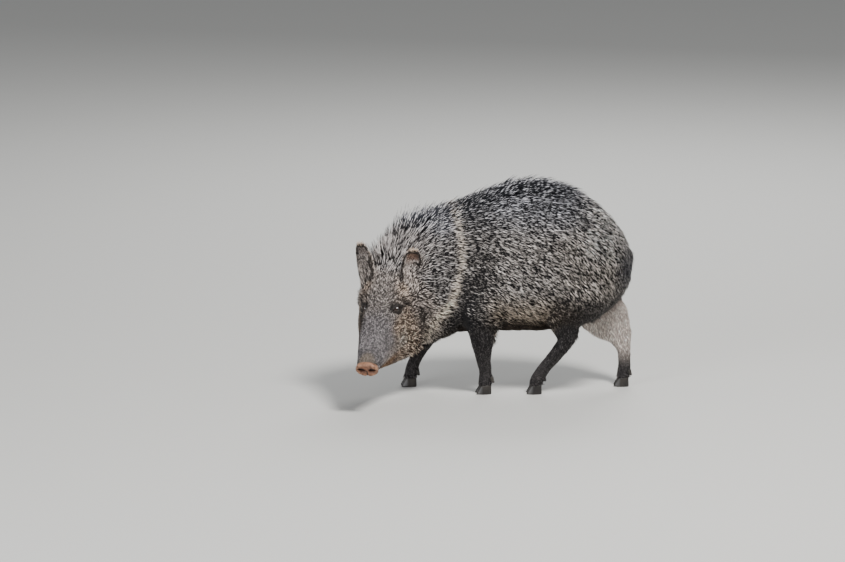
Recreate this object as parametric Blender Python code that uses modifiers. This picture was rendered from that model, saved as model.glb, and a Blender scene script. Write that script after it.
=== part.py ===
"""Collared peccary, life size, walking with its head lowered and turned to its left.

The body is modelled whole, out to the tips of its coat, and then parted with thin cuts into
head, neck, trunk and legs. The animal faces -X, its left side is at -Y, and it stands on Z = 0.
All lengths are in metres and all angles in degrees.
"""

import math

import bmesh
import bpy
import numpy as np
from mathutils import Matrix, Vector

# Driving dimensions -----------------------------------------------------------------------

CUT = 0.0003  # width of the cut between two pieces
VOXEL = 0.0045  # grain of the mesh in which the body's masses run together
FLESH_TRIANGLES = 3700  # faces left on the whole body before it is parted

# Trunk and neck: one row a section, from behind the tail to inside the skull. Each has the
# section's top point, its bottom point, its heading (0 is straight ahead, 90 is to the left),
# its half width, and the height of the widest place as a share of the section.
BODY_SECTIONS = (
    ((0.318, 0.000, 0.304), (0.318, 0.000, 0.268), 0, 0.020, 0.50),
    ((0.309, 0.000, 0.345), (0.309, 0.000, 0.244), 0, 0.046, 0.50),
    ((0.289, 0.000, 0.382), (0.289, 0.000, 0.212), 0, 0.070, 0.48),
    ((0.255, 0.000, 0.421), (0.255, 0.000, 0.180), 0, 0.092, 0.47),
    ((0.211, 0.000, 0.456), (0.211, 0.000, 0.157), 0, 0.106, 0.46),
    ((0.158, 0.000, 0.484), (0.158, 0.000, 0.146), 0, 0.116, 0.45),
    ((0.095, 0.000, 0.496), (0.095, 0.000, 0.141), 0, 0.121, 0.44),
    ((0.035, 0.000, 0.491), (0.035, 0.000, 0.141), 0, 0.119, 0.43),
    ((-0.020, -0.002, 0.472), (-0.015, -0.002, 0.141), 4, 0.112, 0.43),
    ((-0.072, -0.008, 0.453), (-0.060, -0.008, 0.139), 10, 0.105, 0.44),
    ((-0.125, -0.022, 0.436), (-0.098, -0.020, 0.138), 20, 0.100, 0.45),
    ((-0.170, -0.044, 0.415), (-0.130, -0.036, 0.129), 33, 0.096, 0.46),
    ((-0.206, -0.070, 0.389), (-0.158, -0.054, 0.131), 46, 0.092, 0.47),
    ((-0.229, -0.098, 0.358), (-0.182, -0.074, 0.136), 60, 0.086, 0.48),
    ((-0.240, -0.122, 0.322), (-0.200, -0.096, 0.148), 72, 0.074, 0.50),
)
SECTION_SIDES = 40
SECTION_STEPS = 5  # rings from one section to the next
BODY_SQUARENESS = 2.15

# Head: its axis runs back from the middle of the nose disc.
NOSE_PLACE = (-0.290, -0.286, 0.113)
HEAD_HEADING = 76
HEAD_PITCH = 32  # how far the snout points down
# Each row has the distance behind the nose, the top and the bottom above the axis, the half
# width, and the height of the widest place as a share of the section.
HEAD_SECTIONS = (
    (-0.006, 0.017, -0.018, 0.0240, 0.50),
    (0.014, 0.021, -0.027, 0.0270, 0.50),
    (0.040, 0.027, -0.046, 0.0325, 0.50),
    (0.070, 0.034, -0.069, 0.0385, 0.46),
    (0.105, 0.042, -0.096, 0.0465, 0.43),
    (0.145, 0.051, -0.123, 0.0560, 0.41),
    (0.180, 0.060, -0.143, 0.0645, 0.40),
    (0.215, 0.068, -0.155, 0.0710, 0.41),
    (0.245, 0.074, -0.156, 0.0745, 0.43),
    (0.275, 0.072, -0.146, 0.0730, 0.46),
    (0.300, 0.058, -0.122, 0.0620, 0.50),
)
HEAD_SQUARENESS = 2.45
# Full cheeks, and the neck's loose skin and ruff pushed up where it bends: centre behind the
# nose, to the left and above the axis, and half sizes along, across and up.
CHEEKS = (
    ((0.215, 0.026, -0.062), (0.080, 0.052, 0.078)),
    ((0.215, -0.026, -0.062), (0.080, 0.050, 0.078)),
    ((0.268, 0.072, -0.062), (0.062, 0.050, 0.096)),
)

NOSE_WIDTH = 0.051
NOSE_HEIGHT = 0.041
NOSE_THICKNESS = 0.0085
NOSTRIL_SPREAD = 0.0110  # from the middle of the disc to the middle of a nostril
NOSTRIL_SIZE = (0.0070, 0.0034, 0.0040)  # half width, half height and depth

EYE_RADIUS = 0.0108
EYE_BACK = 0.163  # eye's centre behind the nose
EYE_UP = 0.029  # and above the head's axis
EYE_SIDE = 0.038  # and from the middle plane
ORBIT_RADIUS = 0.017  # of the hollow round an eye
ORBIT_DEPTH = 0.0035

EAR_BACK = 0.232
EAR_UP = 0.052
EAR_SIDE = 0.043
EAR_HEIGHT = 0.088
EAR_WIDTH = 0.041
EAR_THICKNESS = 0.017
EAR_ROOTED = 0.20  # share of the ear that sinks into the head
# Outline of an ear from its root to its tip: share of the height, and its width, thickness and
# backward bend as shares of the largest.
EAR_ROWS = (
    (0.00, 0.62, 1.00, 0.00),
    (0.15, 0.76, 1.00, 0.00),
    (0.35, 0.94, 0.94, 0.04),
    (0.55, 1.00, 0.84, 0.10),
    (0.74, 0.92, 0.70, 0.18),
    (0.88, 0.68, 0.54, 0.27),
    (0.97, 0.36, 0.38, 0.34),
    (1.00, 0.14, 0.20, 0.37),
)
EAR_SIDES = 18
EAR_HOLLOW = (0.70, 0.86, 0.36)  # width, thickness and height of the opening's hollow
EAR_LEAN = 12  # how far the ears lean outwards
EAR_TURN = 30  # how far their openings turn to the sides
EAR_RAISE = {"left": 0.0, "right": 0.010}  # the right ear is pricked a little higher

MOUTH_FRONT = 0.021  # how far the mouth's line lies below the head's axis at its front
MOUTH_SLOPE = 17  # and how much it falls towards the back

# Thin cuts that part the body: centre, heading and pitch of the cut's normal, and half width
# and half height of the cut.
CUTS = {
    "head from neck": ((-0.222, -0.075, 0.235), 55, 25, 0.140, 0.165),
    "neck from trunk": ((-0.155, -0.037, 0.275), 30, 0, 0.140, 0.178),
}
SNOUT_LENGTH = 0.085
# Cuts across the legs: centre, normal and radius.
LEG_CUTS = {
    "left elbow": ((-0.030, -0.070, 0.148), (0.0, 0.60, 0.80), 0.060),
    "left knee": ((-0.024, -0.056, 0.098), (0.0, 0.20, 0.98), 0.035),
    "right elbow": ((-0.127, 0.064, 0.158), (0.35, -0.50, 0.79), 0.058),
    "right knee": ((-0.160, 0.052, 0.102), (0.50, -0.20, 0.84), 0.035),
    "left stifle": ((0.168, -0.067, 0.152), (0.0, 0.60, 0.80), 0.095),
    "left hock": ((0.158, -0.054, 0.111), (0.60, 0.10, 0.79), 0.036),
    "right stifle": ((0.258, 0.068, 0.176), (-0.35, -0.45, 0.82), 0.088),
    "right hock": ((0.302, 0.049, 0.097), (0.05, -0.10, 0.99), 0.044),
}
# A place inside each piece of the parted body, which gives the piece its name.
PIECE_SEEDS = {
    "trunk": (0.090, 0.000, 0.310),
    "neck": (-0.190, -0.030, 0.270),
    "foreleg_left_upper": (-0.027, -0.064, 0.123),
    "foreleg_left_lower": (-0.022, -0.049, 0.060),
    "foreleg_right_upper": (-0.144, 0.058, 0.128),
    "foreleg_right_lower": (-0.186, 0.042, 0.060),
    "hindleg_left_upper": (0.167, -0.060, 0.135),
    "hindleg_left_lower": (0.122, -0.048, 0.065),
    "hindleg_right_upper": (0.285, 0.060, 0.148),
    "hindleg_right_lower": (0.302, 0.042, 0.062),
}
# The same on the head: behind the nose, to the left and above the axis.
HEAD_SEEDS = {
    "head": (0.185, 0.0, -0.040),
    "snout": (0.050, 0.0, 0.003),
    "lower_jaw": (0.058, 0.0, -0.050),
}
# Round places where the body's masses run together more softly: centre and radius.
SOFT_PLACES = (
    ((-0.215, -0.080, 0.250), 0.190),
    ((-0.040, -0.080, 0.210), 0.075),
    ((-0.095, 0.070, 0.210), 0.080),
    ((0.185, -0.080, 0.215), 0.085),
    ((0.235, 0.075, 0.215), 0.085),
)

# Legs: one row a section down the leg, with its centre, its half depth from front to back and
# its half width. The last row is just above the hooves.
FORELEGS = {
    "left": (
        ((-0.052, -0.070, 0.290), 0.066, 0.036),
        ((-0.042, -0.079, 0.220), 0.058, 0.033),
        ((-0.030, -0.072, 0.165), 0.040, 0.028),
        ((-0.027, -0.062, 0.120), 0.026, 0.022),
        ((-0.024, -0.053, 0.085), 0.0190, 0.0175),
        ((-0.020, -0.048, 0.055), 0.0155, 0.0155),
        ((-0.019, -0.046, 0.033), 0.0165, 0.0175),
        ((-0.022, -0.046, 0.017), 0.0165, 0.0178),
    ),
    "right": (
        ((-0.075, 0.058, 0.290), 0.062, 0.036),
        ((-0.092, 0.066, 0.220), 0.050, 0.033),
        ((-0.118, 0.063, 0.170), 0.036, 0.028),
        ((-0.144, 0.056, 0.126), 0.024, 0.021),
        ((-0.167, 0.048, 0.090), 0.0180, 0.0170),
        ((-0.184, 0.041, 0.057), 0.0150, 0.0152),
        ((-0.191, 0.038, 0.034), 0.0165, 0.0172),
        ((-0.195, 0.038, 0.017), 0.0165, 0.0178),
    ),
}
HINDLEGS = {
    "left": (
        ((0.215, -0.058, 0.300), 0.078, 0.040),
        ((0.190, -0.074, 0.235), 0.072, 0.040),
        ((0.163, -0.072, 0.188), 0.052, 0.034),
        ((0.166, -0.062, 0.152), 0.033, 0.024),
        ((0.164, -0.055, 0.124), 0.0215, 0.0185),
        ((0.141, -0.050, 0.090), 0.0165, 0.0160),
        ((0.113, -0.047, 0.055), 0.0152, 0.0155),
        ((0.101, -0.046, 0.034), 0.0168, 0.0170),
        ((0.095, -0.046, 0.017), 0.0165, 0.0175),
    ),
    "right": (
        ((0.220, 0.058, 0.300), 0.078, 0.040),
        ((0.230, 0.072, 0.235), 0.070, 0.040),
        ((0.245, 0.070, 0.182), 0.062, 0.035),
        ((0.272, 0.063, 0.147), 0.052, 0.028),
        ((0.293, 0.055, 0.118), 0.0330, 0.0205),
        ((0.303, 0.047, 0.088), 0.0185, 0.0160),
        ((0.305, 0.041, 0.055), 0.0155, 0.0152),
        ((0.304, 0.039, 0.034), 0.0165, 0.0168),
        ((0.300, 0.039, 0.017), 0.0165, 0.0175),
    ),
}
LEG_SIDES = 24

HOOF_LENGTH = 0.037
HOOF_WIDTH = 0.0172
HOOF_HEIGHT = 0.0205
HOOF_SIDES = 14
# Outline of a claw from its sole up: shares of the height and size, and its shift to the back.
CLAW_ROWS = ((0.0, 0.96, 0.0), (0.12, 1.0, 0.0), (0.55, 0.92, -0.02), (1.0, 0.80, -0.07))
HOOF_SPLAY = 5  # how far each of a foot's two claws turns out
CLEFT = 0.0024  # gap between the two claws
# A foot's place on the ground, its heading, and which dewclaws it has.
FEET = {
    "fore_left": ((-0.022, -0.046), 6, ("outer", "inner")),
    "fore_right": ((-0.195, 0.038), 4, ("outer", "inner")),
    "hind_left": ((0.095, -0.046), 2, ("inner",)),
    "hind_right": ((0.300, 0.039), -2, ("inner",)),
}
DEWCLAW_LENGTH = 0.014
DEWCLAW_RADIUS = 0.0062
DEWCLAW_BACK = 0.0015  # behind the back of the pastern
DEWCLAW_SIDE = 0.0100
DEWCLAW_TOP = 0.040

TAIL_LENGTH = 0.036
TAIL_RADIUS = 0.0085
TAIL_PLACE = (0.307, 0.0, 0.336)
TAIL_DROOP = 66  # how steeply it hangs

COLOURS = {
    "coat": ((0.075, 0.072, 0.070, 1.0), 0.75),
    "face": ((0.120, 0.105, 0.095, 1.0), 0.75),
    "leg": ((0.030, 0.028, 0.028, 1.0), 0.70),
    "ear": ((0.110, 0.085, 0.070, 1.0), 0.75),
    "nose": ((0.480, 0.230, 0.150, 1.0), 0.38),
    "eye": ((0.012, 0.008, 0.006, 1.0), 0.08),
    "hoof": ((0.030, 0.026, 0.024, 1.0), 0.45),
}


# Scene and materials ----------------------------------------------------------------------


def clear_scene():
    for item in list(bpy.data.objects):
        bpy.data.objects.remove(item, do_unlink=True)


def make_collection(name):
    collection = bpy.data.collections.new(name)
    bpy.context.scene.collection.children.link(collection)
    return collection


def make_material(name):
    colour, roughness = COLOURS[name]
    material = bpy.data.materials.new(name)
    material.use_nodes = True
    shader = material.node_tree.nodes["Principled BSDF"]
    shader.inputs["Base Color"].default_value = colour
    shader.inputs["Roughness"].default_value = roughness
    shader.inputs["Metallic"].default_value = 0.0
    material.diffuse_color = colour
    return material


def add_object(name, mesh, collection):
    item = bpy.data.objects.new(name, mesh)
    collection.objects.link(item)
    return item


def mesh_from(name, bm):
    bmesh.ops.recalc_face_normals(bm, faces=bm.faces[:])
    mesh = bpy.data.meshes.new(name)
    bm.to_mesh(mesh)
    bm.free()
    return mesh


def evaluated_mesh(item):
    """The object's mesh with its modifiers, which are then removed."""
    depsgraph = bpy.context.evaluated_depsgraph_get()
    mesh = bpy.data.meshes.new_from_object(item.evaluated_get(depsgraph))
    item.modifiers.clear()
    item.data = mesh
    return item


# Sections and lofts -----------------------------------------------------------------------


def heading_vector(heading):
    turn = math.radians(heading)
    return Vector((-math.cos(turn), -math.sin(turn), 0.0))


def left_vector(heading):
    turn = math.radians(heading)
    return Vector((math.sin(turn), -math.cos(turn), 0.0))


def smooth_rows(rows, steps):
    """Rows of numbers with more between them, on a smooth curve through all of them."""
    rows = np.asarray(rows, float)
    spans = np.sqrt(np.linalg.norm(np.diff(rows[:, :3], axis=0), axis=1))
    knots = np.concatenate([[0.0], np.cumsum(spans)])
    slopes = np.gradient(rows, knots, axis=0)
    result = []
    for i in range(len(rows) - 1):
        span = knots[i + 1] - knots[i]
        for t in np.arange(steps) / steps:
            start = (1 + 2 * t) * (1 - t) ** 2 * rows[i] + t * (1 - t) ** 2 * span * slopes[i]
            end = t * t * (3 - 2 * t) * rows[i + 1] - t * t * (1 - t) * span * slopes[i + 1]
            result.append(start + end)
    result.append(rows[-1])
    return result


def section_ring(top, bottom, side, half_width, widest, squareness, count):
    """Points round an oval between top and bottom, with its width along side."""
    waist = bottom.lerp(top, widest)
    points = []
    for k in range(count):
        angle = 2 * math.pi * k / count
        across = math.copysign(abs(math.cos(angle)) ** (2 / squareness), math.cos(angle))
        lift = abs(math.sin(angle)) ** (2 / squareness)
        end = top if math.sin(angle) >= 0 else bottom
        points.append(waist.lerp(end, lift) + side * (half_width * across))
    return points


def loft(name, rings):
    """A closed mesh through rings of points, with a fan on each end."""
    bm = bmesh.new()
    rows = [[bm.verts.new(point) for point in ring] for ring in rings]
    count = len(rings[0])
    for lower, upper in zip(rows, rows[1:]):
        for k in range(count):
            m = (k + 1) % count
            bm.faces.new((lower[k], lower[m], upper[m], upper[k]))
    for row in (rows[0], rows[-1]):
        hub = bm.verts.new(sum((v.co for v in row), Vector()) / count)
        for k in range(count):
            bm.faces.new((row[k], row[(k + 1) % count], hub))
    return mesh_from(name, bm)


def body_mesh():
    rows = [(*top, *bottom, turn, wide, level) for top, bottom, turn, wide, level in BODY_SECTIONS]
    rings = []
    for row in smooth_rows(rows, SECTION_STEPS):
        top, bottom = Vector(row[0:3]), Vector(row[3:6])
        side = left_vector(row[6])
        rings.append(section_ring(top, bottom, side, row[7], row[8], BODY_SQUARENESS, SECTION_SIDES))
    return loft("body", rings)


def head_axes():
    """Unit vectors forward, to the animal's left and up, in the head's own frame."""
    pitch = math.radians(HEAD_PITCH)
    ahead = heading_vector(HEAD_HEADING)
    forward = ahead * math.cos(pitch) - Vector((0, 0, math.sin(pitch)))
    up = ahead * math.sin(pitch) + Vector((0, 0, math.cos(pitch)))
    return forward, left_vector(HEAD_HEADING), up


def head_point(back, side, up):
    """A place on the head, behind the nose, to the left and above the axis."""
    forward, left, above = head_axes()
    return Vector(NOSE_PLACE) - forward * back + left * side + above * up


def head_frame(back, side, up):
    """A matrix at a place on the head, with X forward, Y to the left and Z up."""
    forward, left, above = head_axes()
    turn = Matrix((forward, left, above)).transposed().to_4x4()
    return Matrix.Translation(head_point(back, side, up)) @ turn


def head_mesh():
    rings = []
    left = left_vector(HEAD_HEADING)
    for back, high, low, wide, level in smooth_rows(HEAD_SECTIONS, SECTION_STEPS):
        top, bottom = head_point(back, 0, high), head_point(back, 0, low)
        rings.append(section_ring(top, bottom, left, wide, level, HEAD_SQUARENESS, SECTION_SIDES))
    return loft("head", rings)


def leg_mesh(rows):
    flat = [(*centre, deep, wide) for centre, deep, wide in rows]
    path = smooth_rows(flat, SECTION_STEPS)
    rings = []
    for i, row in enumerate(path):
        before, after = path[max(i - 1, 0)], path[min(i + 1, len(path) - 1)]
        along = Vector(after[:3] - before[:3]).normalized()
        front = Vector((0, 1, 0)).cross(along).normalized()
        side = along.cross(front).normalized()
        ring = []
        for k in range(LEG_SIDES):
            angle = 2 * math.pi * k / LEG_SIDES
            offset = front * (row[3] * math.cos(angle)) + side * (row[4] * math.sin(angle))
            ring.append(Vector(row[:3]) + offset)
        rings.append(ring)
    return loft("leg", rings)


def ellipsoid_mesh(matrix, size, rings=12, segments=20):
    """A ball stretched to the half sizes given, in the matrix's own axes."""
    bm = bmesh.new()
    stretch = Matrix.Diagonal((*size, 1.0))
    bmesh.ops.create_uvsphere(bm, u_segments=segments, v_segments=rings, radius=1.0, matrix=matrix @ stretch)
    return mesh_from("ball", bm)


# Modelling tools --------------------------------------------------------------------------


def join_meshes(name, meshes, collection):
    bm = bmesh.new()
    for mesh in meshes:
        bm.from_mesh(mesh)
    mesh = bpy.data.meshes.new(name)
    bm.to_mesh(mesh)
    bm.free()
    return add_object(name, mesh, collection)


def boolean(item, cutter, operation):
    modifier = item.modifiers.new(operation.lower(), "BOOLEAN")
    modifier.operation = operation
    modifier.solver = "EXACT"
    modifier.object = cutter
    return evaluated_mesh(item)


def remove_object(item):
    bpy.data.objects.remove(item, do_unlink=True)


def grown_copy(item, distance, collection):
    """A copy of a closed object with its surface moved outwards."""
    bm = bmesh.new()
    bm.from_mesh(item.data)
    bm.normal_update()
    moved = [(v, v.co + v.normal * distance) for v in bm.verts]
    for v, place in moved:
        v.co = place
    mesh = bpy.data.meshes.new(item.name + "_grown")
    bm.to_mesh(mesh)
    bm.free()
    return add_object(item.name + "_grown", mesh, collection)


def subtract(item, meshes, collection):
    for mesh in meshes:
        cutter = add_object("cutter", mesh, collection)
        boolean(item, cutter, "DIFFERENCE")
        remove_object(cutter)
    return item


def slab_mesh(matrix, length, width, thickness=CUT):
    """A thin board in the matrix's own axes, for a cut."""
    bm = bmesh.new()
    size = Matrix.Diagonal((length, width, thickness, 1.0))
    bmesh.ops.create_cube(bm, size=1.0, matrix=matrix @ size)
    return mesh_from("slab", bm)


def disc_mesh(centre, normal, radius):
    """A thin round plate, for a cut."""
    bm = bmesh.new()
    turn = Vector(normal).to_track_quat("Z", "Y").to_matrix().to_4x4()
    matrix = Matrix.Translation(centre) @ turn
    bmesh.ops.create_cone(
        bm, cap_ends=True, segments=32, radius1=radius, radius2=radius, depth=CUT, matrix=matrix
    )
    return mesh_from("disc", bm)


# The whole body ---------------------------------------------------------------------------


def press_orbits(item):
    """Sinks a shallow hollow round each eye."""
    for side in (1, -1):
        centre = head_point(EYE_BACK, side * EYE_SIDE, EYE_UP)
        inward = head_axes()[1] * -side
        for vertex in item.data.vertices:
            reach = (vertex.co - centre).length / ORBIT_RADIUS
            if reach < 3:
                vertex.co += inward * (ORBIT_DEPTH * math.exp(-reach * reach))


def weigh(item, name, places, floor=0.0):
    """A vertex group that is full at the middle of each round place and fades to its edge."""
    group = item.vertex_groups.new(name=name)
    for vertex in item.data.vertices:
        near = max(1.0 - (vertex.co - Vector(centre)).length / radius for centre, radius in places)
        group.add([vertex.index], max(near, floor), "REPLACE")


def ease(item, iterations, group=""):
    modifier = item.modifiers.new("ease", "SMOOTH")
    modifier.factor = 0.5
    modifier.iterations = iterations
    modifier.vertex_group = group


def flesh(collection):
    """Trunk, neck, head and legs run together in one closed mesh."""
    meshes = [body_mesh(), head_mesh()]
    meshes += [ellipsoid_mesh(head_frame(*place), size) for place, size in CHEEKS]
    meshes += [leg_mesh(rows) for rows in (*FORELEGS.values(), *HINDLEGS.values())]
    whole = join_meshes("flesh", meshes, collection)
    remesh = whole.modifiers.new("run together", "REMESH")
    remesh.mode = "VOXEL"
    remesh.voxel_size = VOXEL
    evaluated_mesh(whole)
    weigh(whole, "soft", SOFT_PLACES)
    ease(whole, 6)
    ease(whole, 60, "soft")
    evaluated_mesh(whole)
    press_orbits(whole)
    weigh(whole, "keep", [(head_point(0.10, 0, 0), 0.30)])
    count = sum(len(polygon.vertices) - 2 for polygon in whole.data.polygons)
    thin = whole.modifiers.new("thin out", "DECIMATE")
    thin.ratio = FLESH_TRIANGLES / count
    thin.use_collapse_triangulate = True
    thin.vertex_group = "keep"
    thin.vertex_group_factor = 0.004
    thin.invert_vertex_group = True
    evaluated_mesh(whole)
    whole.vertex_groups.clear()
    under = slab_mesh(Matrix.Translation((0, 0, (HOOF_HEIGHT + CUT) / 2)), 2, 2, HOOF_HEIGHT + CUT)
    ahead = slab_mesh(head_frame(-0.05, 0, 0), 0.1, 0.1, 0.1)
    return subtract(whole, [under, ahead], collection)


def plate_mesh(centre, heading, pitch, half_width, half_height):
    """A thin oval plate across the body, for a cut."""
    tilt = math.radians(pitch)
    ahead, left = heading_vector(heading), left_vector(heading)
    normal = ahead * math.cos(tilt) - Vector((0, 0, math.sin(tilt)))
    up = ahead * math.sin(tilt) + Vector((0, 0, math.cos(tilt)))
    turn = Matrix((left, up, normal)).transposed().to_4x4()
    bm = bmesh.new()
    bmesh.ops.create_cone(
        bm,
        cap_ends=True,
        segments=40,
        radius1=1.0,
        radius2=1.0,
        depth=1.0,
        matrix=Matrix.Translation(centre) @ turn @ Matrix.Diagonal((half_width, half_height, CUT, 1.0)),
    )
    return mesh_from("plate", bm)


def mouth_slab():
    """A thin board along the closed mouth, from the nose to where the snout ends."""
    length = SNOUT_LENGTH + 0.018
    slope = Matrix.Rotation(math.radians(-MOUTH_SLOPE), 4, "Y")
    frame = head_frame(-0.010, 0, -MOUTH_FRONT) @ slope
    return slab_mesh(frame @ Matrix.Translation((-length / 2, 0, 0)), length, 0.12)


def part_body(whole, collection):
    """Parts the body with the thin cuts and names the pieces."""
    cutters = [plate_mesh(*row) for row in CUTS.values()]
    cutters += [disc_mesh(*row) for row in LEG_CUTS.values()]
    cutters.append(
        plate_mesh(head_point(SNOUT_LENGTH, 0, -0.020), HEAD_HEADING, HEAD_PITCH, 0.075, 0.110)
    )
    cutters.append(mouth_slab())
    subtract(whole, cutters, collection)
    seeds = {name: Vector(place) for name, place in PIECE_SEEDS.items()}
    seeds.update({name: head_point(*place) for name, place in HEAD_SEEDS.items()})
    pieces = {}
    for mesh in loose_parts(whole.data):
        places = np.array([v.co for v in mesh.vertices])
        middle = Vector((places.min(axis=0) + places.max(axis=0)) / 2)
        name = min(seeds, key=lambda key: (seeds[key] - middle).length)
        pieces.setdefault(name, []).append(mesh)
    remove_object(whole)
    result = {}
    for name in seeds:
        largest = max(pieces[name], key=lambda mesh: len(mesh.vertices))
        result[name] = add_object(name, largest, collection)
    return result


def loose_parts(mesh):
    """The mesh's separate bodies, each as a mesh of its own."""
    bm = bmesh.new()
    bm.from_mesh(mesh)
    group = {}
    for first in bm.verts:
        if first in group:
            continue
        stack = [first]
        group[first] = first
        while stack:
            for edge in stack.pop().link_edges:
                for vertex in edge.verts:
                    if vertex not in group:
                        group[vertex] = first
                        stack.append(vertex)
    meshes = []
    for first in {id(v): v for v in group.values()}.values():
        copy = bmesh.new()
        made = {}
        for vertex in bm.verts:
            if group[vertex] is first:
                made[vertex] = copy.verts.new(vertex.co)
        for face in bm.faces:
            if group[face.verts[0]] is first:
                copy.faces.new([made[vertex] for vertex in face.verts])
        part = bpy.data.meshes.new("part")
        copy.to_mesh(part)
        copy.free()
        meshes.append(part)
    bm.free()
    return meshes


# Small pieces -----------------------------------------------------------------------------


def ball_mesh(centre, radius):
    bm = bmesh.new()
    turn = Matrix.Translation(centre)
    bmesh.ops.create_uvsphere(bm, u_segments=16, v_segments=9, radius=radius, matrix=turn)
    return mesh_from("ball", bm)


def ear_object(word, side, collection):
    """An upright rounded ear, with the hollow of its opening."""
    outwards = left_vector(HEAD_HEADING) * side
    root = head_point(EAR_BACK, side * EAR_SIDE, EAR_UP + EAR_RAISE[word])
    lean, turn = math.radians(EAR_LEAN), math.radians(EAR_TURN)
    up = Vector((0, 0, math.cos(lean))) + outwards * math.sin(lean)
    facing = heading_vector(HEAD_HEADING) * math.cos(turn) + outwards * math.sin(turn)
    across = up.cross(facing).normalized()
    facing = across.cross(up).normalized()
    axes = Matrix((across, facing, up)).transposed().to_4x4()
    frame = Matrix.Translation(root - up * (EAR_HEIGHT * EAR_ROOTED)) @ axes
    rings = []
    for height, wide, thick, bend in EAR_ROWS:
        ring = []
        for k in range(EAR_SIDES):
            angle = 2 * math.pi * k / EAR_SIDES
            point = (
                EAR_WIDTH / 2 * wide * math.cos(angle),
                EAR_THICKNESS * (thick / 2 * math.sin(angle) - bend),
                EAR_HEIGHT * height,
            )
            ring.append(frame @ Vector(point))
        rings.append(ring)
    ear = add_object("ear", loft("ear", rings), collection)
    wide, thick, high = EAR_HOLLOW
    half = (EAR_WIDTH / 2 * wide, EAR_THICKNESS / 2 * thick, EAR_HEIGHT * high)
    lean_back = Matrix.Rotation(math.radians(3), 4, "X")
    spot = Matrix.Translation((0, EAR_THICKNESS * 0.36, EAR_HEIGHT * 0.56)) @ lean_back
    return subtract(ear, [ellipsoid_mesh(frame @ spot, half, 8, 12)], collection)


def nose_object(collection):
    """The flat disc at the end of the snout, with two slanting nostrils."""
    rings = []
    profile = ((0.0, 0.94), (0.2, 1.0), (0.6, 1.0), (0.85, 0.93), (1.0, 0.78))
    left = left_vector(HEAD_HEADING)
    for depth, share in profile:
        back = -CUT - depth * NOSE_THICKNESS
        half = NOSE_HEIGHT / 2 * share
        top, bottom = head_point(back, 0, half), head_point(back, 0, -half)
        rings.append(section_ring(top, bottom, left, NOSE_WIDTH / 2 * share, 0.56, 2.2, 24))
    disc = add_object("nose_disc", loft("nose_disc", rings), collection)
    cutters = []
    for side in (1, -1):
        frame = head_frame(-NOSE_THICKNESS, side * NOSTRIL_SPREAD, 0.001)
        tilt = Matrix.Rotation(math.radians(side * 14), 4, "X")
        wide, high, deep = NOSTRIL_SIZE
        cutters.append(ellipsoid_mesh(frame @ tilt, (deep, wide, high), 8, 12))
    return subtract(disc, cutters, collection)


def tail_object(collection):
    droop = math.radians(TAIL_DROOP)
    along = Vector((math.cos(droop), 0, -math.sin(droop)))
    rings = []
    for share, size in ((0, 1.0), (0.3, 1.0), (0.65, 0.78), (0.9, 0.5), (1.0, 0.22)):
        centre = Vector(TAIL_PLACE) + along * (TAIL_LENGTH * share)
        front = Vector((0, 1, 0)).cross(along)
        radius = TAIL_RADIUS * size
        ring = []
        for k in range(14):
            angle = 2 * math.pi * k / 14
            aside = Vector((0, radius * math.sin(angle), 0))
            ring.append(centre + front * (radius * math.cos(angle)) + aside)
        rings.append(ring)
    return add_object("tail", loft("tail", rings), collection)


def foot_frame(place, heading):
    """A matrix on the ground under a foot, with X to the toes and Y to the left."""
    turn = Matrix((heading_vector(heading), left_vector(heading), Vector((0, 0, 1))))
    return Matrix.Translation((*place, 0)) @ turn.transposed().to_4x4()


def claw_mesh(frame, inner):
    """One half of a cloven hoof: flat sole, long pointed toe, straight inner wall."""
    rings = []
    for height, share, shift in CLAW_ROWS:
        ring = []
        for k in range(HOOF_SIDES):
            angle = 2 * math.pi * k / HOOF_SIDES
            ahead, aside = math.cos(angle), math.sin(angle)
            reach = 0.56 if ahead > 0 else 0.44
            bulge = 1.0 if aside * inner < 0 else 0.78
            point = Vector(
                (
                    HOOF_LENGTH * (reach * share * math.copysign(abs(ahead) ** 0.9, ahead) + shift),
                    HOOF_WIDTH / 2 * bulge * share * math.copysign(abs(aside) ** 0.75, aside),
                    HOOF_HEIGHT * height,
                )
            )
            ring.append(frame @ point)
        rings.append(ring)
    return loft("claw", rings)


def dewclaw_mesh(frame):
    bm = bmesh.new()
    bmesh.ops.create_cone(
        bm,
        cap_ends=True,
        segments=12,
        radius1=DEWCLAW_RADIUS * 0.45,
        radius2=DEWCLAW_RADIUS,
        depth=DEWCLAW_LENGTH,
        matrix=frame,
    )
    return mesh_from("dewclaw", bm)


def foot_pieces(name, place, heading, dewclaws, collection):
    """The hooves of one foot; +1 in a side is the animal's left."""
    frame = foot_frame(place, heading)
    end, word = name.split("_")
    pastern, depth, _ = (FORELEGS if end == "fore" else HINDLEGS)[word][-2]
    back = pastern[0] - place[0] + depth
    outer = 1 if name.endswith("left") else -1
    pieces, raised = {}, {}
    for word, side in (("outer", outer), ("inner", -outer)):
        offset = Matrix.Translation((0, side * (HOOF_WIDTH * 0.47 + CLEFT / 2), 0))
        splay = Matrix.Rotation(math.radians(side * HOOF_SPLAY), 4, "Z")
        claw = claw_mesh(frame @ offset @ splay, -side)
        pieces[f"hoof_{name}_{word}"] = add_object(f"hoof_{name}_{word}", claw, collection)
        if word in dewclaws:
            lift = DEWCLAW_TOP - DEWCLAW_LENGTH / 2
            spot = Matrix.Translation((-back - DEWCLAW_BACK, side * DEWCLAW_SIDE, lift))
            tilt = Matrix.Rotation(math.radians(14), 4, "Y")
            dewclaw = dewclaw_mesh(frame @ spot @ tilt)
            title = f"dewclaw_{name}_{word}"
            raised[title] = add_object(title, dewclaw, collection)
    return pieces, raised


# The animal -------------------------------------------------------------------------------


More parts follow.
